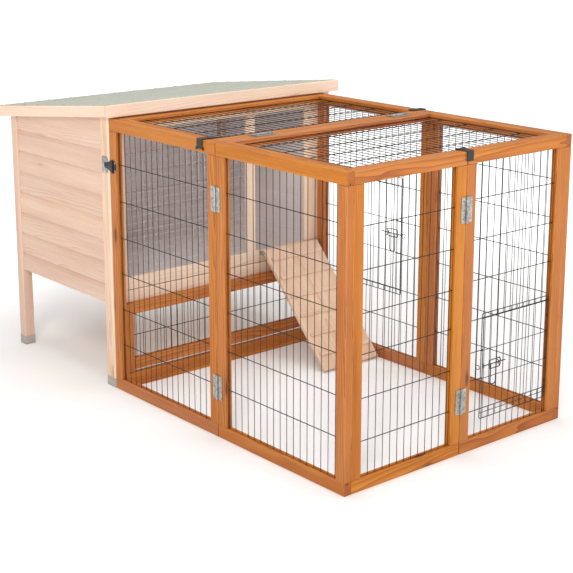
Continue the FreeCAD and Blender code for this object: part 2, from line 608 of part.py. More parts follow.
# local x across, local y up the slope, local z out of the board's face
RAMP = FreeCAD.Placement(V(P["ramp_left"] - OX, P["ramp_foot_y"] - OY, 0.3),
                         FreeCAD.Rotation(V(1, 0, 0), P["ramp_slope"]))
RAX = (P["ramp_foot_y"] + math.cos(ra) * (P["ramp_long"] - 8.5) - math.sin(ra) * 7.5,
       0.3 + math.sin(ra) * (P["ramp_long"] - 8.5) + math.cos(ra) * 7.5)


def ramp_box(x0, v0, w0, dx, dv, dw):
    b = doc.addObject("Part::Box", "ramp_piece")
    b.Length, b.Width, b.Height = dx, dv, dw
    b.Placement = RAMP.multiply(FreeCAD.Placement(V(x0, v0, w0), FreeCAD.Rotation()))
    return b


node("ramp_board", ramp_box(0, 0, 0, P["ramp_wide"], P["ramp_long"], P["ramp_thick"]))
node("ramp_cleats", [ramp_box(10, 55 + 78 * k, P["ramp_thick"], P["ramp_wide"] - 20, 14, 5) for k in range(6)])
rx0, rx1 = P["ramp_left"], P["ramp_left"] + P["ramp_wide"]
node("ramp_knuckles", [
    cut(cyl(x, RAX[0], RAX[1], 5.0, 6, "X"), cyl(x, RAX[0], RAX[1], 2.06, 6, "X"))
    for x in (rx0 - 6, rx1)])
node("ramp_brackets", [
    fuse([box(xb_, RAX[0] - 5, RAX[1] - 8, 2, P["hutch_front"] - RAX[0] + 5, 16),
          cyl(xp, RAX[0], RAX[1], 2.0, 8, "X")])
    for xb_, xp in ((rx0 - 8.5, rx0 - 8.5), (rx1 + 6.5, rx1 + 0.5))])

# ------------------------------------------------------- check and write
doc.recompute()
bad = [o.Label for o in doc.Objects if "Invalid" in o.State or "Error" in o.State]
if bad:
    raise RuntimeError("failed objects: " + ", ".join(bad))
for name, o in made.items():
    if o.Shape.isNull() or not o.Shape.isValid():
        raise RuntimeError("bad shape: " + name)
    for s in o.Shape.Solids:
        if s.Volume <= 0:
            raise RuntimeError("inside-out solid: " + name)
if len(made) > 60:
    raise RuntimeError("too many nodes")
os.makedirs("parts", exist_ok=True)
lo, hi = V(1e9, 1e9, 1e9), V(-1e9, -1e9, -1e9)
count = 0
for name, o in made.items():
    o.Shape.exportStep("parts/" + name + ".step")
    b = o.Shape.BoundBox
    count += len(o.Shape.Solids)
    lo = V(min(lo.x, b.XMin), min(lo.y, b.YMin), min(lo.z, b.ZMin))
    hi = V(max(hi.x, b.XMax), max(hi.y, b.YMax), max(hi.z, b.ZMax))
print(len(made), "nodes", count, "solids; box", lo, hi)
print("roof axis y, z", RAX_Y - OY, RAX_Z, " ramp axis y, z", RAX[0] - OY, RAX[1])
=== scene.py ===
import bpy
import json
import math
import random
from mathutils import Matrix, Vector


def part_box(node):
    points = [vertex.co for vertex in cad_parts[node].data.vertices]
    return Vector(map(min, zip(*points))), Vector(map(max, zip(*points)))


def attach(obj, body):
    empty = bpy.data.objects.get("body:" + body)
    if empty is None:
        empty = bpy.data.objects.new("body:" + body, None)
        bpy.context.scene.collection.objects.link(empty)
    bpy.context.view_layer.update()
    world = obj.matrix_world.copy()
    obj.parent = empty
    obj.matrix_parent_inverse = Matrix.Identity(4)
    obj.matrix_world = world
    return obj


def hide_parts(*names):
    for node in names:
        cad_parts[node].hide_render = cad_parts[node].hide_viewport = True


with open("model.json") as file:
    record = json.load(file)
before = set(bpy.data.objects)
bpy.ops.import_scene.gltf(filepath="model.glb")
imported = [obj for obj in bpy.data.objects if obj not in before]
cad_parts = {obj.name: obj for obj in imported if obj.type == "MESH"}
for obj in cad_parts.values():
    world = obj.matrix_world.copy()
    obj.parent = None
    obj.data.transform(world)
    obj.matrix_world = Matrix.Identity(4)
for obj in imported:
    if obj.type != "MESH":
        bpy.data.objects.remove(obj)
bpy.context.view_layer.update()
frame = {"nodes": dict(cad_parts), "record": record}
rnd = random.Random(4071)
N = frame["nodes"]
BODY = {n: b for b, ns in frame["record"]["behaviour"]["bodies"].items() for n in ns}
SLOT = {s["node"]: s["material_slot"] for s in frame["record"]["subparts"]}
OX, OY = 484.0, 930.0          # the layout's offset, as in the CAD
MM = 0.001
bpy.context.scene.view_settings.view_transform = "Standard"
bpy.context.scene.view_settings.look = "None"


def P(x, y, z):
    """Layout millimetres to the frame's metres."""
    return Vector(((x - OX) * MM, (y - OY) * MM, z * MM))


# =====================================================================
# materials
# =====================================================================
def lin(r, g, b):
    f = lambda c: (c / 255 / 12.92) if c / 255 <= 0.04045 else ((c / 255 + 0.055) / 1.055) ** 2.4
    return (f(r), f(g), f(b), 1.0)


class Mat:
    """A short way to write a node tree."""

    def __init__(self, name):
        self.m = bpy.data.materials.new(name)
        self.m.use_nodes = True
        self.t = self.m.node_tree
        self.t.nodes.clear()
        self.out = self.t.nodes.new("ShaderNodeOutputMaterial")
        self.b = self.t.nodes.new("ShaderNodeBsdfPrincipled")
        self.t.links.new(self.b.outputs[0], self.out.inputs[0])

    def n(self, kind, ins=None, **props):
        x = self.t.nodes.new("ShaderNode" + kind)
        for k, v in props.items():
            setattr(x, k, v)
        for k, v in (ins or {}).items():
            self.put(x.inputs[k], v)
        return x

    def put(self, sock, v):
        if isinstance(v, bpy.types.NodeSocket):
            self.t.links.new(v, sock)
        elif isinstance(v, bpy.types.Node):
            self.t.links.new(v.outputs[0], sock)
        else:
            sock.default_value = v

    def math(self, op, a, b=0.0, c=0.0, clamp=False):
        x = self.n("Math", operation=op, use_clamp=clamp)
        for s, v in zip(x.inputs, (a, b, c)):
            self.put(s, v)
        return x.outputs[0]

    def mix(self, fac, a, b, mode="MIX"):
        x = self.n("Mix", data_type="RGBA", blend_type=mode)
        self.put(x.inputs[0], fac)
        self.put(x.inputs[6], a)
        self.put(x.inputs[7], b)
        return x.outputs[2]

    def ramp(self, fac, stops):
        x = self.n("ValToRGB")
        self.put(x.inputs[0], fac)
        e = x.color_ramp.elements
        while len(e) < len(stops):
            e.new(0.5)
        for q, (pos, col) in zip(e, stops):
            q.position, q.color = pos, col
        return x.outputs[0]

    def noise(self, vec, scale, detail=2.0, rough=0.5, dist=0.0):
        x = self.n("TexNoise", {"Scale": scale, "Detail": detail, "Roughness": rough, "Distortion": dist})
        if vec is not None:
            self.put(x.inputs["Vector"], vec)
        return x.outputs[0]

    def scaled(self, vec, sc, loc=(0, 0, 0)):
        return self.n("Mapping", {"Vector": vec, "Scale": sc, "Location": loc}).outputs[0]

    def remap(self, v, a, b, c, d):
        return self.n("MapRange", {0: v, 1: a, 2: b, 3: c, 4: d}).outputs[0]

    def bump(self, height, strength, distance):
        x = self.n("Bump", {"Height": height, "Strength": strength, "Distance": distance})
        self.put(self.b.inputs["Normal"], x.outputs[0])

    def attr(self, name, out=0):
        return self.n("Attribute", attribute_type="GEOMETRY", attribute_name=name).outputs[out]


def wood(name, light, mid, dark, knot, ring=1.0, coat=0.0, rough=0.55, knots=1.0, interior_painted_light=None):
    """Solid softwood: rings, fibres, knots and board-to-board change, in the board's own grain coordinates."""
    m = Mat(name)
    g = m.attr("grain", 1)
    tint = m.attr("tint", 2)
    wear = m.attr("wear", 2)
    wob = m.n("TexNoise", {"Vector": m.scaled(g, (2.2, 14, 14)), "Scale": 1.0, "Detail": 2.0})
    off = m.n("VectorMath", {0: wob.outputs[1], 1: (0.5, 0.5, 0.5)}, operation="SUBTRACT")
    off2 = m.n("VectorMath", {0: off.outputs[0], 1: (0.0, 0.016, 0.016)}, operation="MULTIPLY")
    p = m.n("VectorMath", {0: g, 1: off2.outputs[0]}, operation="ADD")
    s = m.n("SeparateXYZ", {0: p.outputs[0]})
    # the board's pith leans a little against its length, so rings run out as long arches
    y = m.math("ADD", s.outputs[1], m.math("MULTIPLY", s.outputs[0], 0.011))
    r = m.math("SQRT", m.math("ADD", m.math("MULTIPLY", y, y), m.math("MULTIPLY", s.outputs[2], s.outputs[2])))
    rings = m.math("FRACT", m.math("MULTIPLY", r, 290.0))
    rings = m.math("POWER", rings, 2.4)                       # soft early wood, sharp late wood
    fibre = m.noise(m.scaled(g, (9, 620, 620)), 1.0, 3.0, 0.6)
    fine = m.noise(m.scaled(g, (40, 2400, 2400)), 1.0, 2.0, 0.6)
    broad = m.noise(m.scaled(g, (1.6, 20, 20)), 1.0, 3.0, 0.55)
    v = m.math("ADD", m.math("MULTIPLY", rings, 0.26 * ring),
               m.math("ADD", m.math("MULTIPLY", fibre, 0.42), m.math("MULTIPLY", broad, 0.48)))
    v = m.math("ADD", v, m.math("MULTIPLY", fine, 0.10))
    col = m.ramp(v, [(0.34, light), (0.55, mid), (0.80, dark)])
    # knots: sparse cells stretched along the grain
    vor = m.n("TexVoronoi", {"Vector": m.scaled(g, (3.1, 11.5, 11.5)), "Scale": 1.0, "Randomness": 1.0})
    kd = m.math("ADD", vor.outputs[0], m.math("MULTIPLY", m.math("SUBTRACT", fibre, 0.5), 0.06))
    k = m.remap(kd, 0.045, 0.105, 1.0, 0.0)
    halo = m.remap(kd, 0.09, 0.26, 0.35, 0.0)
    col = m.mix(m.math("MULTIPLY", halo, knots), col, dark)
    col = m.mix(m.math("MULTIPLY", k, 0.85 * knots), col, knot)
    # each board took the stain a little differently
    hs = m.n("HueSaturation", {"Hue": m.remap(tint, -1, 1, 0.4955, 0.5045), "Saturation": m.remap(tint, -1, 1, 0.97, 1.06),
                               "Value": m.remap(tint, -1, 1, 0.93, 1.06), "Fac": 1.0, "Color": col})
    # rubbed edges, broken up
    w = m.math("MULTIPLY", wear, m.remap(m.noise(m.scaled(g, (30, 90, 90)), 1.0, 3.0), 0.35, 0.7, 0.08, 0.75))
    col = m.mix(w, hs.outputs[0], light)
    # weather and handling, patchy
    stain = m.remap(m.noise(m.scaled(g, (4, 9, 9), (3, 1, 7)), 1.0, 4.0, 0.6), 0.55, 0.8, 0.0, 0.16)
    col = m.mix(stain, col, dark)
    # sawn ends drink in more stain
    col = m.mix(m.math("MULTIPLY", m.attr("endgrain", 2), m.remap(fibre, 0.2, 0.8, 0.35, 0.75)), col, dark)
    if interior_painted_light is not None:
        # painted light: the faces within the hutch, marked by the inner attribute, are painted near white, standing
        # in for light its shaded interior lacks
        pale = m.mix(m.remap(v, 0.35, 1.0, 0.0, 1.0), interior_painted_light[0], interior_painted_light[1])
        col = m.mix(m.math("MULTIPLY", m.attr("inner", 2), 0.85), col, pale)
    m.put(m.b.inputs["Base Color"], col)
    m.put(m.b.inputs["Roughness"], m.remap(m.math("ADD", m.math("MULTIPLY", rings, 0.4), fibre), 0.3, 1.2, rough + 0.08, rough - 0.10))
    m.b.inputs["Coat Weight"].default_value = coat
    m.b.inputs["Coat Roughness"].default_value = 0.35
    m.b.inputs["Specular IOR Level"].default_value = 0.35
    h = m.math("ADD", m.math("MULTIPLY", rings, -0.5), m.math("ADD", fibre, m.math("MULTIPLY", fine, 0.6)))
    m.bump(h, 0.28, 0.0006)
    return m.m


ORANGE = wood("run_wood", lin(208, 140, 72), lin(188, 111, 44), lin(142, 70, 22), lin(66, 30, 13), 1.0, 0.10, 0.50)
# the pale hutch wood; its last pair of colours is painted light for the faces within the hutch
PALE = wood("hutch_wood", lin(236, 209, 189), lin(227, 194, 170), lin(202, 163, 138), lin(152, 106, 78), 0.8, 0.0, 0.66, 0.6,
            (lin(252, 249, 250), lin(234, 228, 229)))
CREAM = wood("trim_wood", lin(247, 226, 204), lin(240, 212, 187), lin(218, 184, 156), lin(164, 118, 86), 0.7, 0.0, 0.64, 0.5)


def wire_mat(name, base, tone, rough, metal):
    m = Mat(name)
    o = m.n("TexCoord").outputs[3]
    n1 = m.noise(o, 130.0, 3.0, 0.6)
    n2 = m.noise(o, 900.0, 2.0, 0.6)
    scuff = m.remap(m.noise(o, 44.0, 4.0, 0.7), 0.60, 0.74, 0.0, 0.6)
    col = m.mix(n1, base, tone)
    col = m.mix(scuff, col, tone)
    m.put(m.b.inputs["Base Color"], col)
    m.put(m.b.inputs["Roughness"], m.remap(m.math("ADD", n1, m.math("MULTIPLY", n2, 0.4)), 0.3, 1.0, rough - 0.12, rough + 0.14))
    m.b.inputs["Metallic"].default_value = metal
    m.bump(m.math("ADD", n1, m.math("MULTIPLY", n2, 0.5)), 0.22, 0.0003)
    return m.m


BLACK = wire_mat("black_wire", lin(9, 9, 9), lin(30, 28, 27), 0.45, 0.0)
ZINC = wire_mat("window_wire", lin(196, 196, 198), lin(222, 222, 224), 0.5, 0.15)
CLIP = wire_mat("black_clip", lin(16, 15, 15), lin(40, 37, 34), 0.42, 0.0)


def steel_mat():
    m = Mat("hinge_steel")
    o = m.n("TexCoord").outputs[3]
    brush = m.noise(m.scaled(o, (260, 260, 2600)), 1.0, 3.0, 0.6)
    spangle = m.n("TexVoronoi", {"Vector": o, "Scale": 210.0}).outputs[1]
    sp = m.n("SeparateColor", {0: spangle}).outputs[0]
    dull = m.remap(m.noise(o, 38.0, 4.0, 0.65), 0.45, 0.75, 0.0, 1.0)
    col = m.mix(sp, lin(150, 149, 145), lin(190, 189, 185))
    col = m.mix(m.math("MULTIPLY", dull, 0.45), col, lin(108, 103, 96))
    m.put(m.b.inputs["Base Color"], col)
    m.b.inputs["Metallic"].default_value = 0.85
    m.put(m.b.inputs["Roughness"], m.remap(m.math("ADD", brush, m.math("MULTIPLY", dull, 0.6)), 0.3, 1.2, 0.26, 0.52))
    m.bump(brush, 0.15, 0.0002)
    return m.m


STEEL = steel_mat()


def recess_shade_mat():
    # painted shade: a near-black colour for the screws' cross recesses, standing in for the shade in the hollow
    m = Mat("recess")
    o = m.n("TexCoord").outputs[3]
    n = m.noise(o, 600.0, 2.0)
    m.put(m.b.inputs["Base Color"], m.mix(n, lin(30, 28, 26), lin(58, 54, 50)))
    m.put(m.b.inputs["Roughness"], m.remap(n, 0.3, 0.7, 0.6, 0.8))
    return m.m


RECESS_SHADE = recess_shade_mat()


def cap_mat():
    m = Mat("leg_cap")
    o = m.n("TexCoord").outputs[3]
    grain = m.noise(o, 1500.0, 2.0)
    blot = m.noise(o, 25.0, 4.0, 0.6)
    z = m.n("SeparateXYZ", {0: o}).outputs[2]
    # darker towards the floor, in patches, over the lowest 14 mm
    darker_near_floor = m.math("MULTIPLY", m.remap(z, 0.0, 0.014, 0.55, 0.0), blot)
    col = m.mix(blot, lin(168, 159, 149), lin(190, 182, 172))
    col = m.mix(darker_near_floor, col, lin(118, 104, 90))
    m.put(m.b.inputs["Base Color"], col)
    m.put(m.b.inputs["Roughness"], m.remap(blot, 0.3, 0.7, 0.48, 0.62))
    m.bump(grain, 0.12, 0.0002)
    return m.m


CAP = cap_mat()


def felt_mat():
    m = Mat("roof_felt")
    o = m.n("TexCoord").outputs[3]
    gr = m.n("TexVoronoi", {"Vector": o, "Scale": 620.0})
    tone = m.n("SeparateColor", {0: gr.outputs[1]}).outputs[0]
    mott = m.noise(o, 9.0, 5.0, 0.62)
    streak = m.noise(m.scaled(o, (24, 1.6, 1.6)), 1.0, 4.0, 0.6)
    col = m.ramp(tone, [(0.0, lin(148, 153, 141)), (0.45, lin(176, 177, 165)), (1.0, lin(208, 206, 194))])
    col = m.mix(m.remap(mott, 0.35, 0.7, 0.0, 0.35), col, lin(160, 168, 154))
    col = m.mix(m.remap(streak, 0.5, 0.75, 0.0, 0.25), col, lin(190, 188, 174))
    m.put(m.b.inputs["Base Color"], col)
    m.put(m.b.inputs["Roughness"], m.remap(tone, 0.0, 1.0, 0.84, 0.95))
    m.bump(gr.outputs[0], 0.5, 0.0009)
    return m.m


FELT = felt_mat()

# =====================================================================
# mesh building
# =====================================================================
class Build:
    """Collects closed shells with their grain, tint and wear."""

    def __init__(self):
        self.v, self.f, self.g, self.t, self.w, self.mi, self.e, self.b = [], [], [], [], [], [], [], []

    def add(self, verts, faces, grain, tint, wear, mat=0, ends=(), inner=None):
        k = len(self.v)
        self.v += [tuple(p) for p in verts]
        self.f += [tuple(k + i for i in f) for f in faces]
        self.g += [tuple(p) for p in grain]
        self.t += [tint] * len(verts)
        self.w += list(wear)
        self.mi += [mat] * len(faces)
        k = len(faces)
        self.e += [1.0 if i in ends or i - k in ends else 0.0 for i in range(k)]
        self.b += [0.0] * len(verts) if inner is None else [inner(Vector(p)) for p in verts]

    def piece(self, name, body, mats, nodes=(), slot=None, smooth=None):
        me = bpy.data.meshes.new(name)
        me.from_pydata(self.v, [], self.f)
        a = me.attributes.new("grain", "FLOAT_VECTOR", "POINT")
        a.data.foreach_set("vector", [c for p in self.g for c in p])
        a = me.attributes.new("tint", "FLOAT", "POINT")
        a.data.foreach_set("value", self.t)
        a = me.attributes.new("wear", "FLOAT", "FACE")
        a.data.foreach_set("value", self.w)
        a = me.attributes.new("endgrain", "FLOAT", "FACE")
        a.data.foreach_set("value", self.e)
        # inner: 1 on vertices of faces within the hutch, where the pale wood is painted light
        a = me.attributes.new("inner", "FLOAT", "POINT")
        a.data.foreach_set("value", self.b)
        for x in mats:
            me.materials.append(x)
        me.polygons.foreach_set("material_index", self.mi)
        if smooth is not None:
            me.polygons.foreach_set("use_smooth", [True] * len(self.f))
            me.set_sharp_from_angle(angle=math.radians(smooth))
        me.update()
        o = bpy.data.objects.new(name, me)
        bpy.context.scene.collection.objects.link(o)
        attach(o, body)
        if nodes:
            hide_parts(*nodes)
        return o


ID = Matrix.Identity(4)


def stick(bd, lo, hi, axis=None, M=ID, bevel=0.0016, grooves=(), mat=0, tint=None, inner=None):
    """One sawn board from lo to hi in M's frame, its edges eased, its ends eased too.

    grooves: (axis of the face, +1 or -1, across axis low, high, depth)."""
    size = [hi[i] - lo[i] for i in range(3)]
    a = axis if axis is not None else max(range(3), key=lambda i: size[i])
    b, c = [(1, 2), (2, 0), (0, 1)][a]
    e = min(bevel, 0.3 * min(size))
    loB, hiB, loC, hiC = lo[b], hi[b], lo[c], hi[c]
    q = 0.3 * e
    prof = []           # counter-clockwise in (b, c); flag: is the edge that starts here an eased one
    gd = {}
    for ax, sg, g0, g1, depth in grooves:
        gd[(ax, sg)] = (g0, g1, depth)

    def corner(x, y, sx, sy, first):
        pts = [(x - sx * e, y), (x - sx * q, y - sy * q), (x, y - sy * e)]
        if first == "y":
            pts.reverse()
        return pts

    # bottom (c low, going +b), right (b high), top, left
    prof += [(p, 1) for p in corner(loB, loC, -1, -1, "y")[:2]] + [(corner(loB, loC, -1, -1, "y")[2], 0)]
    if (c, -1) in gd:
        g0, g1, d = gd[(c, -1)]
        prof += [((g0, loC), 2), ((g0, loC + d), 2), ((g1, loC + d), 2), ((g1, loC), 0)]
    prof += [(p, 1) for p in corner(hiB, loC, 1, -1, "x")[:2]] + [(corner(hiB, loC, 1, -1, "x")[2], 0)]
    if (b, 1) in gd:
        g0, g1, d = gd[(b, 1)]
        prof += [((hiB, g0), 2), ((hiB - d, g0), 2), ((hiB - d, g1), 2), ((hiB, g1), 0)]
    prof += [(p, 1) for p in corner(hiB, hiC, 1, 1, "y")[:2]] + [(corner(hiB, hiC, 1, 1, "y")[2], 0)]
    if (c, 1) in gd:
        g0, g1, d = gd[(c, 1)]
        prof += [((g1, hiC), 2), ((g1, hiC - d), 2), ((g0, hiC - d), 2), ((g0, hiC), 0)]
    prof += [(p, 1) for p in corner(loB, hiC, -1, 1, "x")[:2]] + [(corner(loB, hiC, -1, 1, "x")[2], 0)]
    if (b, -1) in gd:
        g0, g1, d = gd[(b, -1)]
        prof += [((loB, g1), 2), ((loB + d, g1), 2), ((loB + d, g0), 2), ((loB, g0), 0)]
    n = len(prof)
    cb, cc = (loB + hiB) / 2, (loC + hiC) / 2

    def inset(p, d):
        fx = max(0.0, 1 - d / (hiB - loB) * 2)
        fy = max(0.0, 1 - d / (hiC - loC) * 2)
        return cb + (p[0] - cb) * fx, cc + (p[1] - cc) * fy

    verts, grain = [], []
    r0, r1 = rnd.uniform(0.0, 9.0), rnd.choice((-1, 1))
    pith = (rnd.uniform(0.018, 0.06), rnd.uniform(0.004, 0.05))
    for t, d in ((lo[a], e), (lo[a] + 0.35 * e, 0.3 * e), (lo[a] + e, 0), (hi[a] - e, 0), (hi[a] - 0.35 * e, 0.3 * e), (hi[a], e)):
        for (p, _) in prof:
            x, y = inset(p, d) if d else p
            co = [0.0, 0.0, 0.0]
            co[a], co[b], co[c] = t, x, y
            verts.append(M @ Vector(co))
            grain.append((t * r1 + r0, x - cb + pith[0], y - cc + pith[1]))
    faces, wear = [], []
    for s in range(5):
        for i in range(n):
            j = (i + 1) % n
            faces.append((s * n + i, s * n + j, (s + 1) * n + j, (s + 1) * n + i))
            wear.append(1.0 if (prof[i][1] == 1 or s in (0, 1, 3, 4)) else 0.0)
    faces.append(tuple(reversed(range(n))))
    faces.append(tuple(5 * n + i for i in range(n)))
    wear += [0.0, 0.0]
    ends = [-1, -2] + list(range(2 * n)) + list(range(3 * n, 5 * n))
    bd.add(verts, faces, grain, rnd.uniform(-1, 1) if tint is None else tint, wear, mat, set(ends), inner)


def rod(bd, pts, r, sides=8, closed=False, mat=0, cap=True):
    """A round wire along pts, mitred at the corners, with eased ends."""
    pts = [Vector(p) for p in pts]
    n = len(pts)
    dirs = []
    for i in range(n):
        if closed:
            d = (pts[(i + 1) % n] - pts[i]).normalized() + (pts[i] - pts[i - 1]).normalized()
        elif i == 0:
            d = pts[1] - pts[0]
        elif i == n - 1:
            d = pts[-1] - pts[-2]
        else:
            d = (pts[i + 1] - pts[i]).normalized() + (pts[i] - pts[i - 1]).normalized()
        dirs.append(d.normalized())
    up = Vector((0, 0, 1)) if abs(dirs[0].z) < 0.9 else Vector((1, 0, 0))
    u = dirs[0].cross(up).normalized()
    rings, frames = [], []
    for i in range(n):
        d = dirs[i]
        u = (u - d * u.dot(d)).normalized()
        frames.append((pts[i], u.copy(), d.cross(u), d))
    seq = []
    if not closed and cap:
        p, a, b, d = frames[0]
        seq.append((p, a, b, r * 0.6))
        seq.append((p + d * r * 0.35, a, b, r))
        seq += [(f[0], f[1], f[2], r) for f in frames[1:-1]]
        p, a, b, d = frames[-1]
        seq.append((p - d * r * 0.35, a, b, r))
        seq.append((p, a, b, r * 0.6))
    else:
        seq = [(f[0], f[1], f[2], r) for f in frames]
    verts = []
    for p, a, b, rr in seq:
        for k in range(sides):
            t = 2 * math.pi * k / sides
            verts.append(p + a * (rr * math.cos(t)) + b * (rr * math.sin(t)))
    m = len(seq)
    faces = []
    for i in range(m if closed else m - 1):
        for k in range(sides):
            l = (k + 1) % sides
            i2 = (i + 1) % m
            faces.append((i * sides + k, i * sides + l, i2 * sides + l, i2 * sides + k))
    if not closed:
        faces.append(tuple(reversed(range(sides))))
        faces.append(tuple((m - 1) * sides + k for k in range(sides)))
    bd.add(verts, faces, verts, 0.0, [0.0] * len(faces), mat)


def bend(pts, radius, steps=5):
    """Round the corners of a bent wire's line."""
    pts = [Vector(p) for p in pts]
    out = [pts[0]]
    for i in range(1, len(pts) - 1):
        a, b, c = pts[i - 1], pts[i], pts[i + 1]
        u, v = (a - b).normalized(), (c - b).normalized()
        ang = u.angle(v)
        t = min(radius / math.tan(ang / 2), 0.45 * min((a - b).length, (c - b).length))
        rr = t * math.tan(ang / 2)
        centre = b + (u + v).normalized() * (rr / math.sin(ang / 2))
        s, e = b + u * t - centre, b + v * t - centre
        tot = s.angle(e)
        for k in range(steps + 1):
            f = k / steps
            out.append(centre + (s * math.sin((1 - f) * tot) + e * math.sin(f * tot)) / math.sin(tot))
    out.append(pts[-1])
    return out


def round_loop(pts, radius, steps=5):
    """A closed line through the middles of a polygon's sides, its corners rounded."""
    pts = [Vector(p) for p in pts]
    n = len(pts)
    out = []
    for i in range(n):
        a, b, c = (pts[i - 1] + pts[i]) / 2, pts[i], (pts[i] + pts[(i + 1) % n]) / 2
        out += bend([a, b, c], radius, steps)[:-1]
    return out


def dome(bd, at, normal, r, h, mat=0, slot_mat=None, spin=0.0):
    """A screw head: a low dome, its cross recess drawn as two dark bars of painted shade when slot_mat is given."""
    nrm = Vector(normal).normalized()
    u = nrm.orthogonal().normalized()
    v = nrm.cross(u)
    at = Vector(at)
    sides = 14
    prof = [(1.0, -0.25), (1.0, 0.25), (0.86, 0.62), (0.6, 0.9), (0.3, 1.0)]
    verts = []
    for rr, hh in prof:
        for k in range(sides):
            t = 2 * math.pi * k / sides
            verts.append(at + u * (r * rr * math.cos(t)) + v * (r * rr * math.sin(t)) + nrm * (h * hh))
    faces = []
    for i in range(len(prof) - 1):
        for k in range(sides):
            l = (k + 1) % sides
            faces.append((i * sides + k, i * sides + l, (i + 1) * sides + l, (i + 1) * sides + k))
    faces.append(tuple(reversed(range(sides))))
    faces.append(tuple((len(prof) - 1) * sides + k for k in range(sides)))
    bd.add(verts, faces, verts, 0.0, [0.0] * len(faces), mat)
    if slot_mat is not None:
        # painted shade: the cross recess is two bars in the dark colour laid into the dome's top, not a hollow
        ru, rv = u * math.cos(spin) + v * math.sin(spin), v * math.cos(spin) - u * math.sin(spin)
        for a, b in ((ru, rv), (rv, ru)):
            w, l = r * 0.11, r * 0.55
            z0, z1 = h * 0.75, h * 1.03
            vs = [at + a * (sa * l) + b * (sb * w) + nrm * z for z in (z0, z1) for sa, sb in ((-1, -1), (1, -1), (1, 1), (-1, 1))]
            if (a.cross(b)).dot(nrm) < 0:
                vs = [vs[i] for i in (3, 2, 1, 0, 7, 6, 5, 4)]
            fs = [(3, 2, 1, 0), (4, 5, 6, 7), (0, 1, 5, 4), (1, 2, 6, 5), (2, 3, 7, 6), (3, 0, 4, 7)]
            bd.add(vs, fs, vs, 0.0, [0.0] * 6, slot_mat)


def boxes(node, M=ID):
    """The boxes of a CAD node that is made of plain boards, in M's frame."""
    me = N[node].data
    co = [M.inverted() @ v.co for v in me.vertices]
    polys = [tuple(p.vertices) for p in me.polygons]
    if len(polys) % 12:
        raise RuntimeError(node + " is not made of boxes")
    out = []
    for i in range(0, len(polys), 12):
        vs = [co[k] for p in polys[i:i + 12] for k in p]
        out.append(([min(v[j] for v in vs) for j in range(3)], [max(v[j] for v in vs) for j in range(3)]))
    return out


# =====================================================================
# the run: framed panels
# =====================================================================
def panel(node, thick, g0, g1):
    """A framed panel. thick is its thickness axis; the wire's groove runs from g0 to g1 on it."""
    bd = Build()
    bs = boxes(node)
    lo = [min(b[0][i] for b in bs) for i in range(3)]
    hi = [max(b[1][i] for b in bs) for i in range(3)]
    mid = [(l + h) / 2 for l, h in zip(lo, hi)]
    for a, b in bs:
        size = [y - x for x, y in zip(a, b)]
        along = max(range(3), key=lambda i: size[i])
        across = [i for i in range(3) if i not in (thick, along)][0]
        side = 1 if (a[across] + b[across]) / 2 < mid[across] else -1
        stick(bd, a, b, along, grooves=[(across, side, g0, g1, 0.006)])
    return bd.piece(node + "_wood", BODY[node], [ORANGE], [node], SLOT[node])


mx = lambda v: (v - OX) * MM
my = lambda v: (v - OY) * MM
for n in ("left_front_frame", "left_rear_frame"):
    panel(n, 0, mx(8.2), mx(13.2))
for n in ("right_front_frame", "right_rear_frame"):
    panel(n, 0, mx(919 - 13.2), mx(919 - 8.2))
for n in ("end_left_frame", "end_right_frame"):
    panel(n, 1, my(8.2), my(13.2))
for n in ("front_lid_frame", "rear_lid_frame"):
    panel(n, 2, 0.8985, 0.9035)
panel("low_panel_frame", 1, my(1112 + 8.2), my(1112 + 13.2))
bd = Build()
for a, b in boxes("rear_sill"):
    stick(bd, a, b)
bd.piece("rear_sill_wood", BODY["rear_sill"], [ORANGE], ["rear_sill"], SLOT["rear_sill"])

# =====================================================================
# the run: welded wire
# =====================================================================
RV, RH = 1.05, 1.4         # radii of the upright and cross wires, mm


def weld(bd, at, r):
    """The small lump where two wires are welded."""
    v = [at + Vector(d) * r for d in ((1, 0, 0), (-1, 0, 0), (0, 1, 0), (0, -1, 0), (0, 0, 1), (0, 0, -1))]
    f = [(0, 2, 4), (2, 1, 4), (1, 3, 4), (3, 0, 4), (2, 0, 5), (1, 2, 5), (3, 1, 5), (0, 3, 5)]
    bd.add(v, f, v, 0.0, [0.0] * 8)


def net(bd, place, us, vs, u0, u1, v0, v1, ru=RV, rv=RH, sides=8, skip=None, wob=0.25):
    """Wires along v at each u, in front, and wires along u at each v, behind.

    place(u, v, depth) gives the point; skip(u or None, v or None) lists the spans left out."""
    for u in us:
        lean = rnd.uniform(-wob, wob)
        for a, b in (skip(u, None) if skip else [(v0, v1)]):
            rod(bd, [place(u + lean, a, 0.0), place(u - lean * 0.4, (a + b) / 2, 0.0), place(u + lean * 0.5, b, 0.0)], ru * MM, sides)
    for v in vs:
        lean = rnd.uniform(-wob, wob)
        for a, b in (skip(None, v) if skip else [(u0, u1)]):
            rod(bd, [place(a, v + lean, ru + rv - 0.15), place((a + b) / 2, v, ru + rv - 0.15), place(b, v + lean * 0.5, ru + rv - 0.15)], rv * MM, sides)
            for u in us:
                if a - 1 <= u <= b + 1:
                    spans = skip(u, None) if skip else [(v0, v1)]
                    if any(p - 1 <= v <= q + 1 for p, q in spans):
                        weld(bd, place(u, v, ru * 0.9), 1.45 * MM)


def steps(first, pitch, last):
    out = []
    while first <= last + 1e-6:
        out.append(first)
        first += pitch
    return out


ROWS = [160 + 121.67 * k for k in range(6)]
left = lambda u, v, d: P(9.8 + d, u, v)
right = lambda u, v, d: P(919 - 9.8 - d, u, v)
endw = lambda u, v, d: P(u, 9.8 + d, v)
low = lambda u, v, d: P(u, 1112 + 9.8 + d, v)
lid = lambda u, v, d: P(u, v, 901.0 - d)

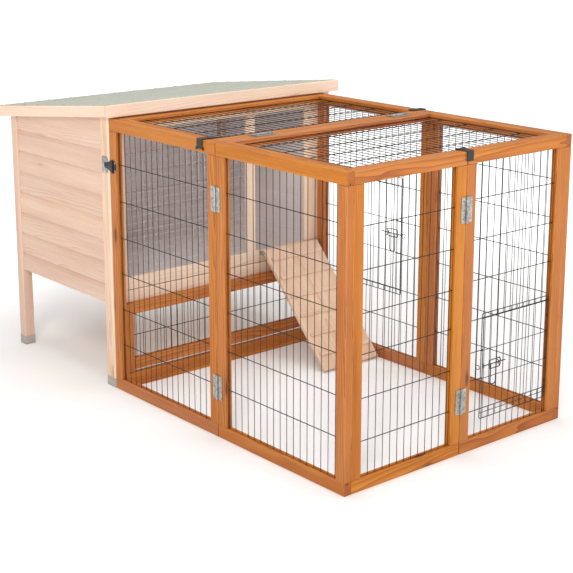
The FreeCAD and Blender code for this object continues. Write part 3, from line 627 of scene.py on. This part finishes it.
bd = Build(); net(bd, left, steps(49.5, 29.75, 532), ROWS, 33, 537, 33, 881)
bd.piece("left_front_wires", "frame", [BLACK], ["left_front_mesh"], "black_wire", 50)
bd = Build(); net(bd, right, steps(49.5, 29.75, 532), ROWS, 33, 537, 33, 881)
bd.piece("right_front_wires", "frame", [BLACK], ["right_front_mesh"], "black_wire", 50)
bd = Build(); net(bd, left, steps(613.75, 29.75, 1097), ROWS, 605, 1102, 33, 881)
bd.piece("left_rear_wires", "left_gate", [BLACK], ["left_rear_mesh"], "black_wire", 50)
bd = Build(); net(bd, endw, steps(67.5, 28.45, 420.5), [142, 267.6, 395, 512, 634, 756], 57, 425.5, 33, 881)
bd.piece("end_left_wires", "frame", [BLACK], ["end_left_mesh"], "black_wire", 50)
bd = Build(); net(bd, low, steps(76, 28.45, 857), [176], 57, 862, 91, 257)
bd.piece("low_panel_wires", "frame", [BLACK], ["low_panel_mesh"], "black_wire", 50)
# lids: fine wires run from front to back, thick ones across
bd = Build(); net(bd, lid, steps(67.5, 28.45, 869), [160, 272, 384, 496], 45, 874, 38, 552)
bd.piece("front_lid_wires", "front_lid", [BLACK], ["front_lid_mesh"], "black_wire", 50)
bd = Build(); net(bd, lid, steps(67.5, 28.45, 869), [700, 812, 924, 1036], 45, 874, 620, 1100)
bd.piece("rear_lid_wires", "frame", [BLACK], ["rear_lid_mesh"], "black_wire", 50)


def ring_eye(bd, centre, axis_half, r, wire, toward):
    """A closed wire loop round a door's edge wire, with its tail to the panel."""
    pts = []
    for k in range(14):
        t = 2 * math.pi * k / 14
        pts.append(centre + Vector((math.cos(t) * r, math.sin(t) * r, 0)))
    for dz in (-axis_half, 0, axis_half):
        rod(bd, [p + Vector((0, 0, dz)) for p in pts], wire, 6, closed=True)
    rod(bd, [centre + toward * r, centre + toward * (r + 0.0022)], wire * 1.6, 6)


# ---- end wall, right half, with its doorway
EX = steps(505.6, 28.45, 857)


def end_skip(u, v):
    if u is not None:
        return [(33, 118), (402.5, 881)] if 570 < u < 840 else [(33, 881)]
    if 118.5 < v < 402:
        return [(493, 562.5), (847, 862)]
    return [(493, 862)]


bd = Build()
net(bd, endw, EX, [118, 215, 303, 402.5, 524, 646, 768], 493, 862, 33, 881, skip=end_skip)
for z in (144, 356):
    ring_eye(bd, P(847, 5.6, z), 0.0022, 0.00225, 0.0006, Vector((0, 1, 0)))
# the keeper: a wire staple that the bolt enters
rod(bd, bend([P(534, 9.0, 262), P(534, -2.9, 262), P(534, -2.9, 250), P(534, 9.0, 250)], 0.004), 0.0011, 8)
bd.piece("end_right_wires", "frame", [BLACK], ["end_right_mesh"], "black_wire", 50)

# ---- right gate, with its doorway
SX = steps(613.75, 29.75, 1097)


def side_skip(u, v):
    if u is not None:
        return [(33, 268), (638, 881)] if 740 < u < 995 else [(33, 881)]
    if 268.5 < v < 637.5:
        return [(605, 732.75), (1000.5, 1102)]
    return [(605, 1102)]


bd = Build()
net(bd, right, SX, [153, 268, 398, 513, 638, 765], 605, 1102, 33, 881, skip=side_skip)
for z in (304, 594):
    ring_eye(bd, P(913.4, 1000.5, z), 0.0022, 0.00225, 0.0006, Vector((-1, 0, 0)))
rod(bd, bend([P(910.0, 703, 467), P(921.9, 703, 467), P(921.9, 703, 455), P(910.0, 703, 455)], 0.004), 0.0011, 8)
bd.piece("right_rear_wires", "right_gate", [BLACK], ["right_rear_mesh"], "black_wire", 50)


# ---- wire doors, each a bent outline with its own wires and bolt guides
def guide(bd, p, across, out, z):
    """A U staple round the bolt, welded to the door."""
    c = P(*p)
    rod(bd, bend([c - out * 0.0035 + Vector((0, 0, z)), c + out * 0.0034 + Vector((0, 0, z)),
                  c + out * 0.0034 - Vector((0, 0, z)), c - out * 0.0035 - Vector((0, 0, z))], 0.003), 0.0014, 8)


bd = Build()
dy = 5.6
rod(bd, bend([P(847, dy, 254), P(847, dy, 89.5), P(549.5, dy, 89.5), P(549.5, dy, 418.5), P(847, dy, 418.5), P(847, dy, 256)], 0.005), 0.0014, 10)
for x in [562.5 + 28.45 * k for k in range(10)]:
    rod(bd, [P(x, dy - 0.4, 88.6), P(x, dy - 0.4, 419.4)], 0.0009, 8)
for z in (107, 215, 303, 402.5):
    rod(bd, [P(548.6, dy + 1.1, z), P(846.6, dy + 1.1, z)], 0.0011, 8)
    for x in [562.5 + 28.45 * k for k in range(10)]:
        weld(bd, P(x, dy + 0.4, z), 0.00135)
out = Vector((0, -1, 0))
guide(bd, (554.5, 0.5, 256), None, out, 0.0052)
guide(bd, (620.5, 0.5, 256), None, out, 0.0052)
# the flat loop that the bolt's handle slides behind
rod(bd, round_loop([P(577, -3.0, 243), P(626, -3.0, 243), P(626, -3.0, 270), P(577, -3.0, 270)], 0.008), 0.0016, 8, closed=True)
for z in (245, 268):
    rod(bd, bend([P(624, -3.0, z), P(627.5, -2.0, z), P(629.5, 5.0, z)], 0.003), 0.0012, 8)
    weld(bd, P(625, -3.0, z), 0.0018)
bd.piece("end_door_wires", "end_door", [BLACK], ["end_wire_door"], "black_wire", 50)
bd = Build()
rod(bd, [P(551, 0.5, 256), P(653, 0.5, 256)], 0.00165, 10)
rod(bd, bend([P(588, 0.5, 256), P(588, 0.5, 191), P(612, 0.5, 191), P(612, 0.5, 256)], 0.009), 0.00165, 10)
bd.piece("end_bolt", "end_latch", [BLACK], ["end_latch_bolt"], "black_wire", 50)

bd = Build()
dx = 913.4
rod(bd, bend([P(dx, 1000.5, 457), P(dx, 1000.5, 248.5), P(dx, 711.5, 248.5), P(dx, 711.5, 665.5), P(dx, 1000.5, 665.5), P(dx, 1000.5, 459)], 0.005), 0.0014, 10)
for y in [732.75 + 29.75 * k for k in range(9)]:
    rod(bd, [P(dx + 0.4, y, 247.6), P(dx + 0.4, y, 666.4)], 0.0009, 8)
for z in (268, 398, 513, 638):
    rod(bd, [P(dx - 1.1, 710.6, z), P(dx - 1.1, 1000.1, z)], 0.0011, 8)
    for y in [732.75 + 29.75 * k for k in range(9)]:
        weld(bd, P(dx - 0.4, y, z), 0.00135)
out = Vector((1, 0, 0))
guide(bd, (918.5, 716.5, 461), None, out, 0.0052)
guide(bd, (918.5, 783.5, 461), None, out, 0.0052)
rod(bd, round_loop([P(922.0, 739, 448), P(922.0, 789, 448), P(922.0, 789, 475), P(922.0, 739, 475)], 0.008), 0.0016, 8, closed=True)
for z in (450, 473):
    rod(bd, bend([P(922.0, 787, z), P(921.0, 790.5, z), P(914.0, 792.5, z)], 0.003), 0.0012, 8)
    weld(bd, P(922.0, 788, z), 0.0018)
bd.piece("side_door_wires", "side_door", [BLACK], ["side_wire_door"], "black_wire", 50)
bd = Build()
rod(bd, [P(918.5, 713, 461), P(918.5, 816, 461)], 0.00165, 10)
rod(bd, bend([P(918.5, 750, 461), P(918.5, 750, 396), P(918.5, 774, 396), P(918.5, 774, 461)], 0.009), 0.00165, 10)
bd.piece("side_bolt", "side_latch", [BLACK], ["side_latch_bolt"], "black_wire", 50)

# =====================================================================
# the hutch
# =====================================================================
def boards(node, mat, M=ID, bevel=0.0018, axis=None, inner=None, tint=None):
    bd = Build()
    for a, b in boxes(node, M):
        stick(bd, a, b, axis, M, bevel, inner=inner, tint=tint)
    return bd.piece(node + "_boards", BODY[node], [mat], [node], SLOT[node])


boards("hutch_legs", PALE)
boards("front_boards", CREAM)
boards("front_stiles", CREAM)
boards("top_rails", CREAM)
boards("floor_joists", PALE)
# inner marks the boards' faces towards the hutch's interior, which are painted light
boards("rear_boards", PALE, bevel=0.004, inner=lambda p: 1.0 if p.y < my(1766) else 0.0)
bd = Build()
# the facings: a strip down each leg, and the wider part beside it
for x0, x1, w0, w1 in ((0, 38, 38, 58), (914, 952, 906, 914)):
    stick(bd, P(x0, 1138, 3), P(x1, 1150, 944), 2, bevel=0.0018, tint=0.1)
    stick(bd, P(w0, 1138, 287), P(w1, 1150, 944), 2, bevel=0.001, tint=0.1)
bd.piece("corner_facing_boards", "frame", [CREAM], ["corner_facings"], "trim_wood")

# shiplap cladding: each board laps the one below it
SL = math.radians(6.545)


def roof_line(y):
    return 962 - math.tan(SL) * (y - 1124) - 12 / math.cos(SL)


def cladding(node, x_in, x_out):
    """Boards with a lapped, sloping face, from the inner to the outer face."""
    bd = Build()
    sgn = 1 if x_out > x_in else -1
    zs = [285, 351.6] + [351.6 + 75.3 * k for k in range(1, 7)]
    y0, y1 = 1188.0, 1738.0
    for k in range(len(zs)):
        z0 = zs[k]
        tops = [zs[k + 1]] * 2 if k + 1 < len(zs) else [roof_line(y0) - 2, roof_line(y1) - 2]
        prof = [(0, z0), (0.82, z0), (0.96, z0 + 1.0), (1.0, z0 + 3.0), (0.97, "t", -16.0), (0.62, "t", -9.0), (0.52, "t", -2.5), (0.52, "t", 0.0), (0, "t", 0.0)]
        n = len(prof)
        verts, grain = [], []
        r0 = rnd.uniform(0, 9)
        pith = (rnd.uniform(0.02, 0.07), rnd.uniform(0.01, 0.05))
        for y, top, sc in ((y0, tops[0], 0), (y1, tops[1], 0)):
            for q in prof:
                x = x_in + (x_out - x_in) * q[0]
                z = q[1] if q[1] != "t" else top + q[2]
                verts.append(P(x, y, z))
                grain.append((y * MM + r0, (x - x_in) * MM + pith[0], (z - z0) * MM + pith[1]))
        faces = []
        for i in range(n):
            j = (i + 1) % n
            f = (i, j, n + j, n + i)
            faces.append(f if sgn < 0 else tuple(reversed(f)))
        a, b = tuple(range(n)), tuple(n + i for i in range(n))
        faces += [tuple(reversed(a)), b] if sgn < 0 else [a, tuple(reversed(b))]
        # inner marks the inner face of each board, which is painted light
        bd.add(verts, faces, grain, rnd.uniform(-1, 0.2), [0.0, 1.0, 1.0, 0.0, 0.0, 0.0, 0.0, 0.0, 0.0, 0.0, 0.0],
               inner=lambda p: 1.0 if abs(p.x - mx(x_in)) < 0.004 else 0.0)
    return bd.piece(node + "_cladding", "frame", [PALE], [node], "hutch_wood", 25)


cladding("left_side_boards", 16, 4)
cladding("right_side_boards", 936, 948)

# floor: planks between the cladding
bd = Build()
lo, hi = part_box("hutch_floor")
x = lo.x
while x < hi.x - 0.001:
    w = min(0.092, hi.x - x)
    inner = x > P(38, 0, 0).x - 0.0005 and x + w < P(914, 0, 0).x + 0.0005
    ya = lo.y if inner else P(0, 1188.3, 0).y
    yb = hi.y if inner else P(0, 1737.7, 0).y
    # inner marks the planks' upper faces, which are painted light
    stick(bd, (x + 0.0002, ya, lo.z), (x + w - 0.0002, yb, hi.z), 1, bevel=0.0012, inner=lambda p: 1.0 if p.z > lo.z + 0.006 else 0.0)
    x += w
bd.piece("floor_planks", "frame", [PALE], ["hutch_floor"], "hutch_wood")

# window wire
bd = Build()
win = lambda u, v, d: P(u, 1138 + 6.4 + d, v)
net(bd, win, steps(83.4, 25.4, 567), steps(399.4, 25.4, 866), 58, 567, 374, 866, 0.6, 0.6, 6, wob=0.1)
bd.piece("window_wires", "frame", [ZINC], ["window_mesh"], "window_wire", 50)

# leg caps: moulded cups with a rolled lip and a wider foot
bd = Build()


def cup(bd, x0, y0, x1, y1, h, r=3.0):
    """A moulded cup, rounded at its upright corners."""
    def loop(d, z):
        rr = max(0.4, r - d)
        pts = []
        for cx, cy, a0 in ((x1 - d - rr, y1 - d - rr, 0), (x0 + d + rr, y1 - d - rr, 90), (x0 + d + rr, y0 + d + rr, 180), (x1 - d - rr, y0 + d + rr, 270)):
            for k in range(5):
                t = math.radians(a0 + 22.5 * k)
                pts.append(P(cx + rr * math.cos(t), cy + rr * math.sin(t), z))
        return pts
    layers = [(0.9, 0.0), (0.15, 0.6), (0.0, 1.6), (0.0, 3.6), (0.35, 4.4), (0.35, h - 3.0), (0.0, h - 2.4), (0.0, h - 0.8), (0.3, h), (1.1, h), (1.35, h - 0.5), (1.35, 3.0)]
    verts = [p for d, z in layers for p in loop(d, z)]
    n = 20
    faces = []
    for i in range(len(layers) - 1):
        for k in range(n):
            l = (k + 1) % n
            faces.append((i * n + k, i * n + l, (i + 1) * n + l, (i + 1) * n + k))
    faces.append(tuple(reversed(range(n))))
    faces.append(tuple((len(layers) - 1) * n + k for k in range(n)))
    bd.add(verts, faces, verts, 0.0, [0.0] * len(faces))


for x0 in (0, 914):
    for y0, y1 in ((1138, 1188), (1738, 1776)):
        cup(bd, x0 - 1.5, y0 - 1.5, x0 + 38 + 1.5, y1 + 1.5, 32)
bd.piece("leg_cap_cups", "frame", [CAP], ["leg_caps"], "leg_cap", 40)

# =====================================================================
# roof
# =====================================================================
ROOF = Matrix.Translation(P(0, 1124, 962)) @ Matrix.Rotation(-SL, 4, "X")
# inner marks the deck's underside, which is painted light
boards("roof_deck", PALE, ROOF, 0.001, 0, inner=lambda p: 1.0 if (ROOF.inverted() @ p).z < -0.009 else 0.0)
boards("roof_fascia", CREAM, ROOF, 0.0022)
boards("roof_bargeboards", CREAM, ROOF, 0.0022)

bd = Build()
FX0, FX1, FV = -16.0, 984.0, 742 / math.cos(SL)
IN = 9.0                       # the felt stops short of the roof's edges
NX, NV = 84, 64
h = {}
ph = [rnd.uniform(0, 6.28) for _ in range(12)]


def swell(x, v):
    """Slight waves in the felt, and the lap between its two courses."""
    s = 0.0
    for k in range(6):
        s += math.sin(x * (0.006 + 0.0043 * k) + ph[k] + 1.7 * math.sin(v * 0.004 * (k + 1))) * math.sin(v * (0.005 + 0.0031 * k) + ph[k + 6]) / (1 + 0.6 * k)
    return -0.9 + 0.42 * s / 2.2 - (0.0 if v < 392 else 0.7)


verts, grain = [], []
for j in range(NV + 1):
    v = IN + (FV - 2 * IN) * j / NV
    if j == int(NV * 0.52):
        v = 391.0
    if j == int(NV * 0.52) + 1:
        v = 393.0
    for i in range(NX + 1):
        x = FX0 + IN + (FX1 - FX0 - 2 * IN) * i / NX
        edge = min(x - FX0, FX1 - x, v, FV - v)
        z = swell(x, v) - 0.9 * max(0.0, 1 - (edge - IN) / 4.0) ** 2
        verts.append(ROOF @ (Vector((x - 0.0, v, max(-2.6, min(-0.05, z)))) * MM))
top = len(verts)
# underside, flat on the deck
for j in range(NV + 1):
    v = IN + (FV - 2 * IN) * j / NV
    for i in range(NX + 1):
        x = FX0 + IN + (FX1 - FX0 - 2 * IN) * i / NX
        verts.append(ROOF @ (Vector((x, v, -3.0)) * MM))
faces = []
W = NX + 1
for j in range(NV):
    for i in range(NX):
        a = j * W + i
        faces.append((a, a + 1, a + W + 1, a + W))
        faces.append((top + a + W, top + a + W + 1, top + a + 1, top + a))
rim = [i for i in range(W)] + [j * W + NX for j in range(1, NV + 1)] + [NV * W + i for i in range(NX - 1, -1, -1)] + [j * W for j in range(NV - 1, 0, -1)]
for a, b in zip(rim, rim[1:] + rim[:1]):
    faces.append((top + a, top + b, b, a))
bd.add(verts, faces, verts, 0.0, [0.0] * len(faces))
bd.piece("roof_felt_sheet", "roof", [FELT], ["roof_felt"], "roof_felt", 30)

# clout nails round the felt's edge
bd = Build()
nrm = (ROOF.to_3x3() @ Vector((0, 0, 1))).normalized()
for i in range(11):
    for v in (IN + 9.0, FV - IN - 9.0):
        dome(bd, ROOF @ (Vector((FX0 + IN + 12 + (FX1 - FX0 - 2 * IN - 24) * i / 10 + rnd.uniform(-3, 3), v, -1.3)) * MM), nrm, 0.0042, 0.0009)
for j in range(1, 8):
    for x in (FX0 + IN + 8.0, FX1 - IN - 8.0):
        dome(bd, ROOF @ (Vector((x, IN + 9 + (FV - 2 * IN - 18) * j / 8 + rnd.uniform(-3, 3), -1.3)) * MM), nrm, 0.0042, 0.0009)
bd.piece("felt_nails", "roof", [STEEL], slot="hinge_steel", smooth=40)

# =====================================================================
# ramp
# =====================================================================
RA = math.radians(47.5)
RAMP = Matrix.Translation(P(632, 798, 0.3)) @ Matrix.Rotation(RA, 4, "X")
boards("ramp_board", PALE, RAMP, 0.0022, 1, tint=0.9)
bd = Build()
for a, b in boxes("ramp_cleats", RAMP):
    stick(bd, a, b, 0, RAMP, 0.0024, tint=rnd.uniform(0.5, 1.0))
bd.piece("ramp_cleat_strips", "ramp", [PALE], ["ramp_cleats"], "hutch_wood")

# =====================================================================
# hardware kept from the CAD, and its screws
# =====================================================================
def slab(bd, pts, M, w0, w1, e, mat=0):
    """A flat plate of the outline pts (counter-clockwise), from w0 to w1, its edges eased by e."""
    n = len(pts)

    def inset(d):
        out = []
        for i in range(n):
            a, b, c = Vector(pts[i - 1]), Vector(pts[i]), Vector(pts[(i + 1) % n])
            u, v = (b - a).normalized(), (c - b).normalized()
            nu, nv = Vector((-u.y, u.x)), Vector((-v.y, v.x))
            k = (nu + nv).normalized()
            out.append(b + k * (d / max(0.4, k.dot(nu))))
        return out

    verts = []
    for d, w in ((e, w0), (0.0, w0 + e), (0.0, w1 - e), (0.3 * e, w1 - 0.3 * e), (e, w1)):
        verts += [M @ (Vector((q.x, q.y, w)) * MM) for q in (inset(d) if d else [Vector(t) for t in pts])]
    faces = [tuple(reversed(range(n))), tuple(4 * n + i for i in range(n))]
    for s in range(4):
        faces += [(s * n + i, s * n + (i + 1) % n, (s + 1) * n + (i + 1) % n, (s + 1) * n + i) for i in range(n)]
    bd.add(verts, faces, verts, 0.0, [0.0] * len(faces), mat)


def arc(cx, cy, r_, a0, a1, k=8):
    return [(cx + r_ * math.cos(math.radians(a0 + (a1 - a0) * i / k)), cy + r_ * math.sin(math.radians(a0 + (a1 - a0) * i / k))) for i in range(k + 1)]


# the hasp: u runs towards the hutch, v down, w out of the wall
HM = Matrix(((0, 0, -1, P(0, 0, 0).x), (1, 0, 0, my(1116)), (0, -1, 0, 0.761), (0, 0, 0, 1)))
slot_of = {"black_clip": CLIP, "hinge_steel": STEEL, "black_wire": BLACK}


def barrel(bd, which):
    for k in which:
        z = 739 + 8.8 * k
        rod(bd, [P(-3.5, 1116, z + 0.15), P(-3.5, 1116, z + 8.65)], 0.0032, 20)


bd = Build()
slab(bd, [(0.5, -20), (0.5, 20), (-9, 20)] + arc(-12.5, 6, 5.5, 115, 180, 5) + arc(-12.5, -6, 5.5, 180, 245, 5) + [(-9, -20)], HM, 0.1, 2.0, 0.35)
barrel(bd, (0, 2, 4))
rod(bd, [P(-3.5, 1116, 738.6), P(-3.5, 1116, 783.4)], 0.0018, 16)
bd.piece("hasp_base_leaf", BODY["hasp_base"], [slot_of[SLOT["hasp_base"]]], ["hasp_base"], SLOT["hasp_base"], 40)
bd = Build()
slab(bd, [(-0.5, 20), (-0.5, -20), (10, -20), (20, -14), (34, -10)] + arc(40, 0, 10, -75, 75, 10) + [(34, 10), (20, 14), (10, 20)], HM, 1.4, 3.3, 0.35)
barrel(bd, (1, 3))
dome(bd, HM @ (Vector((40, 0, 3.2)) * MM), (-1, 0, 0), 0.0042, 0.0016)
bd.piece("hasp_arm_leaf", BODY["hasp_arm"], [slot_of[SLOT["hasp_arm"]]], ["hasp_arm"], SLOT["hasp_arm"], 40)
bd = Build()
slab(bd, arc(38, -20, 8, -90, -180, 5)[::-1] + arc(58, -20, 8, -90, 0, 5) + arc(58, 20, 8, 0, 90, 5) + arc(38, 20, 8, 90, 180, 5), HM, 0.0, 1.0, 0.25)
for u in (37, 59):
    for v in (-20, 20):
        dome(bd, HM @ (Vector((u, v, 0.9)) * MM), (-1, 0, 0), 0.0028, 0.0007, 0, 1, rnd.uniform(0, 1.5))
bd.piece("hasp_striker_plate", BODY["hasp_plate"], [slot_of[SLOT["hasp_plate"]], RECESS_SHADE], ["hasp_plate"], SLOT["hasp_plate"], 40)

for n, o in N.items():
    if o.hide_render:
        continue
    mat = {"hinge_steel": STEEL, "black_clip": CLIP, "black_wire": BLACK}.get(SLOT[n])
    if mat is None:
        raise RuntimeError("no material for " + n)
    o.data.materials.clear()
    o.data.materials.append(mat)


def cols(x, y, z, at):
    m = Matrix.Identity(4)
    for i, c in enumerate((x, y, z)):
        for r in range(3):
            m[r][i] = c[r]
    t = P(*at)
    m[0][3], m[1][3], m[2][3] = t.x, t.y, t.z
    return m


BR = 3.5
cs, sn = math.cos(SL), math.sin(SL)
RY = 1776 + BR
RZ = 962 - math.tan(SL) * (RY - 1124) - 12 / cs - BR / cs
LEFTH = lambda z: cols((0, 1, 0), (1, 0, 0), (0, 0, -1), (-BR, 571, z))
RIGHTH = lambda z: cols((0, 1, 0), (-1, 0, 0), (0, 0, 1), (919 + BR, 571, z))
FRONTH = lambda z: cols((1, 0, 0), (0, 1, 0), (0, 0, 1), (459.5, -BR, z))
LIDH = lambda x: cols((0, -1, 0), (0, 0, -1), (1, 0, 0), (x, 586, 914 + BR))
ROOFF = lambda x: cols((0, 0, 1), (0, -1, 0), (1, 0, 0), (x, RY, RZ))
ROOFM = lambda x: cols((0, cs, -sn), (0, sn, cs), (1, 0, 0), (x, RY, RZ))
screws = {}


def screw_row(body, M, side, mid=12.75, zs=(-25.84, 0, 25.84)):
    bd = screws.setdefault(body, Build())
    nrm = (M.to_3x3() @ Vector((0, -1, 0))).normalized()
    for z in zs:
        at = M @ (Vector((side * mid, BR - 2.0, z)) * MM)
        dome(bd, at, nrm, 0.0036, 0.0009, 0, 1, rnd.uniform(0, 1.5))


for z in (161, 746):
    screw_row("frame", LEFTH(z), -1); screw_row("left_gate", LEFTH(z), 1)
    screw_row("frame", RIGHTH(z), -1); screw_row("right_gate", RIGHTH(z), 1)
for z in (168, 746):
    screw_row("frame", FRONTH(z), -1); screw_row("frame", FRONTH(z), 1)
for x in (190, 762):
    screw_row("frame", LIDH(x), -1); screw_row("front_lid", LIDH(x), 1)
for x in (190, 770):
    screw_row("frame", ROOFF(x), -1); screw_row("roof", ROOFM(x), 1)
HASP = cols((0, 1, 0), (1, 0, 0), (0, 0, -1), (-BR, 1116, 761))
screw_row("left_gate", HASP, -1, 11.5, (-13, 13))
for body, b in screws.items():
    b.piece(body + "_screws", body, [STEEL, RECESS_SHADE], slot="hinge_steel", smooth=40)

# =====================================================================
# stage, light, camera
# =====================================================================
fm = Mat("floor")
fo = fm.n("TexCoord").outputs[3]
fn = fm.noise(fo, 3.0, 3.0)
fm.put(fm.b.inputs["Base Color"], fm.mix(fn, (0.90, 0.90, 0.90, 1), (0.93, 0.93, 0.93, 1)))
fm.b.inputs["Roughness"].default_value = 0.9
flat = fm.n("VectorMath", {0: fo, 1: (1, 1, 0)}, operation="MULTIPLY")
away = fm.n("VectorMath", {0: flat.outputs[0]}, operation="LENGTH").outputs["Value"]
fm.put(fm.b.inputs["Emission Color"], fm.mix(fn, (0.98, 0.98, 0.98, 1), (1, 1, 1, 1)))
fm.put(fm.b.inputs["Emission Strength"], fm.n("MapRange", {0: away, 1: 1.1, 2: 2.6, 3: 0.06, 4: 0.62}, interpolation_type="SMOOTHSTEP").outputs[0])
fm.b.inputs["Specular IOR Level"].default_value = 0.1
me = bpy.data.meshes.new("floor")
me.from_pydata([(-60, -60, -0.0006), (60, -60, -0.0006), (60, 60, -0.0006), (-60, 60, -0.0006)], [], [(0, 1, 2, 3)])
me.materials.append(fm.m)
floor = bpy.data.objects.new("floor", me)
bpy.context.scene.collection.objects.link(floor)

world = bpy.data.worlds.new("studio")
bpy.context.scene.world = world
world.use_nodes = True
wt = world.node_tree
soft = wt.nodes["Background"]
soft.inputs[0].default_value = (1.0, 1.0, 1.0, 1)
soft.inputs[1].default_value = 0.52
back = wt.nodes.new("ShaderNodeBackground")          # the white backdrop itself
back.inputs[0].default_value = (1.0, 1.0, 1.0, 1)
back.inputs[1].default_value = 1.0
ray = wt.nodes.new("ShaderNodeLightPath")
both = wt.nodes.new("ShaderNodeMixShader")
wt.links.new(ray.outputs["Is Camera Ray"], both.inputs[0])
wt.links.new(soft.outputs[0], both.inputs[1])
wt.links.new(back.outputs[0], both.inputs[2])
wt.links.new(both.outputs[0], wt.nodes["World Output"].inputs[0])


def area(name, at, target, size, power, colour=(1, 1, 1)):
    l = bpy.data.lights.new(name, "AREA")
    l.shape, l.size, l.energy, l.color = "DISK", size, power, colour
    o = bpy.data.objects.new(name, l)
    bpy.context.scene.collection.objects.link(o)
    o.location = at
    o.rotation_euler = (Vector(target) - Vector(at)).to_track_quat("-Z", "Y").to_euler()
    return o


area("key", (-4.3, -4.3, 4.6), (0, 0, 0.3), 2.8, 240, (1.0, 0.985, 0.96))
area("fill", (4.2, -4.0, 3.2), (0, 0, 0.4), 3.0, 60, (0.97, 0.98, 1.0))
area("top", (0.0, 0.2, 5.6), (0, 0, 0), 4.0, 130)

cd = bpy.data.cameras.new("camera")
cam = bpy.data.objects.new("camera", cd)
bpy.context.scene.collection.objects.link(cam)
cam.location = (-2.40189 - 0.484, -2.60566 - 0.930, 1.62405)
cam.rotation_euler = (math.pi / 2 - 0.23901, 0.0, -0.69979)
cd.sensor_width = 36.0
cd.lens = 1385.8 / 573 * 36.0
cd.shift_x, cd.shift_y = 0.0, -0.1
cd.clip_start, cd.clip_end = 0.05, 200.0
bpy.context.scene.camera = cam
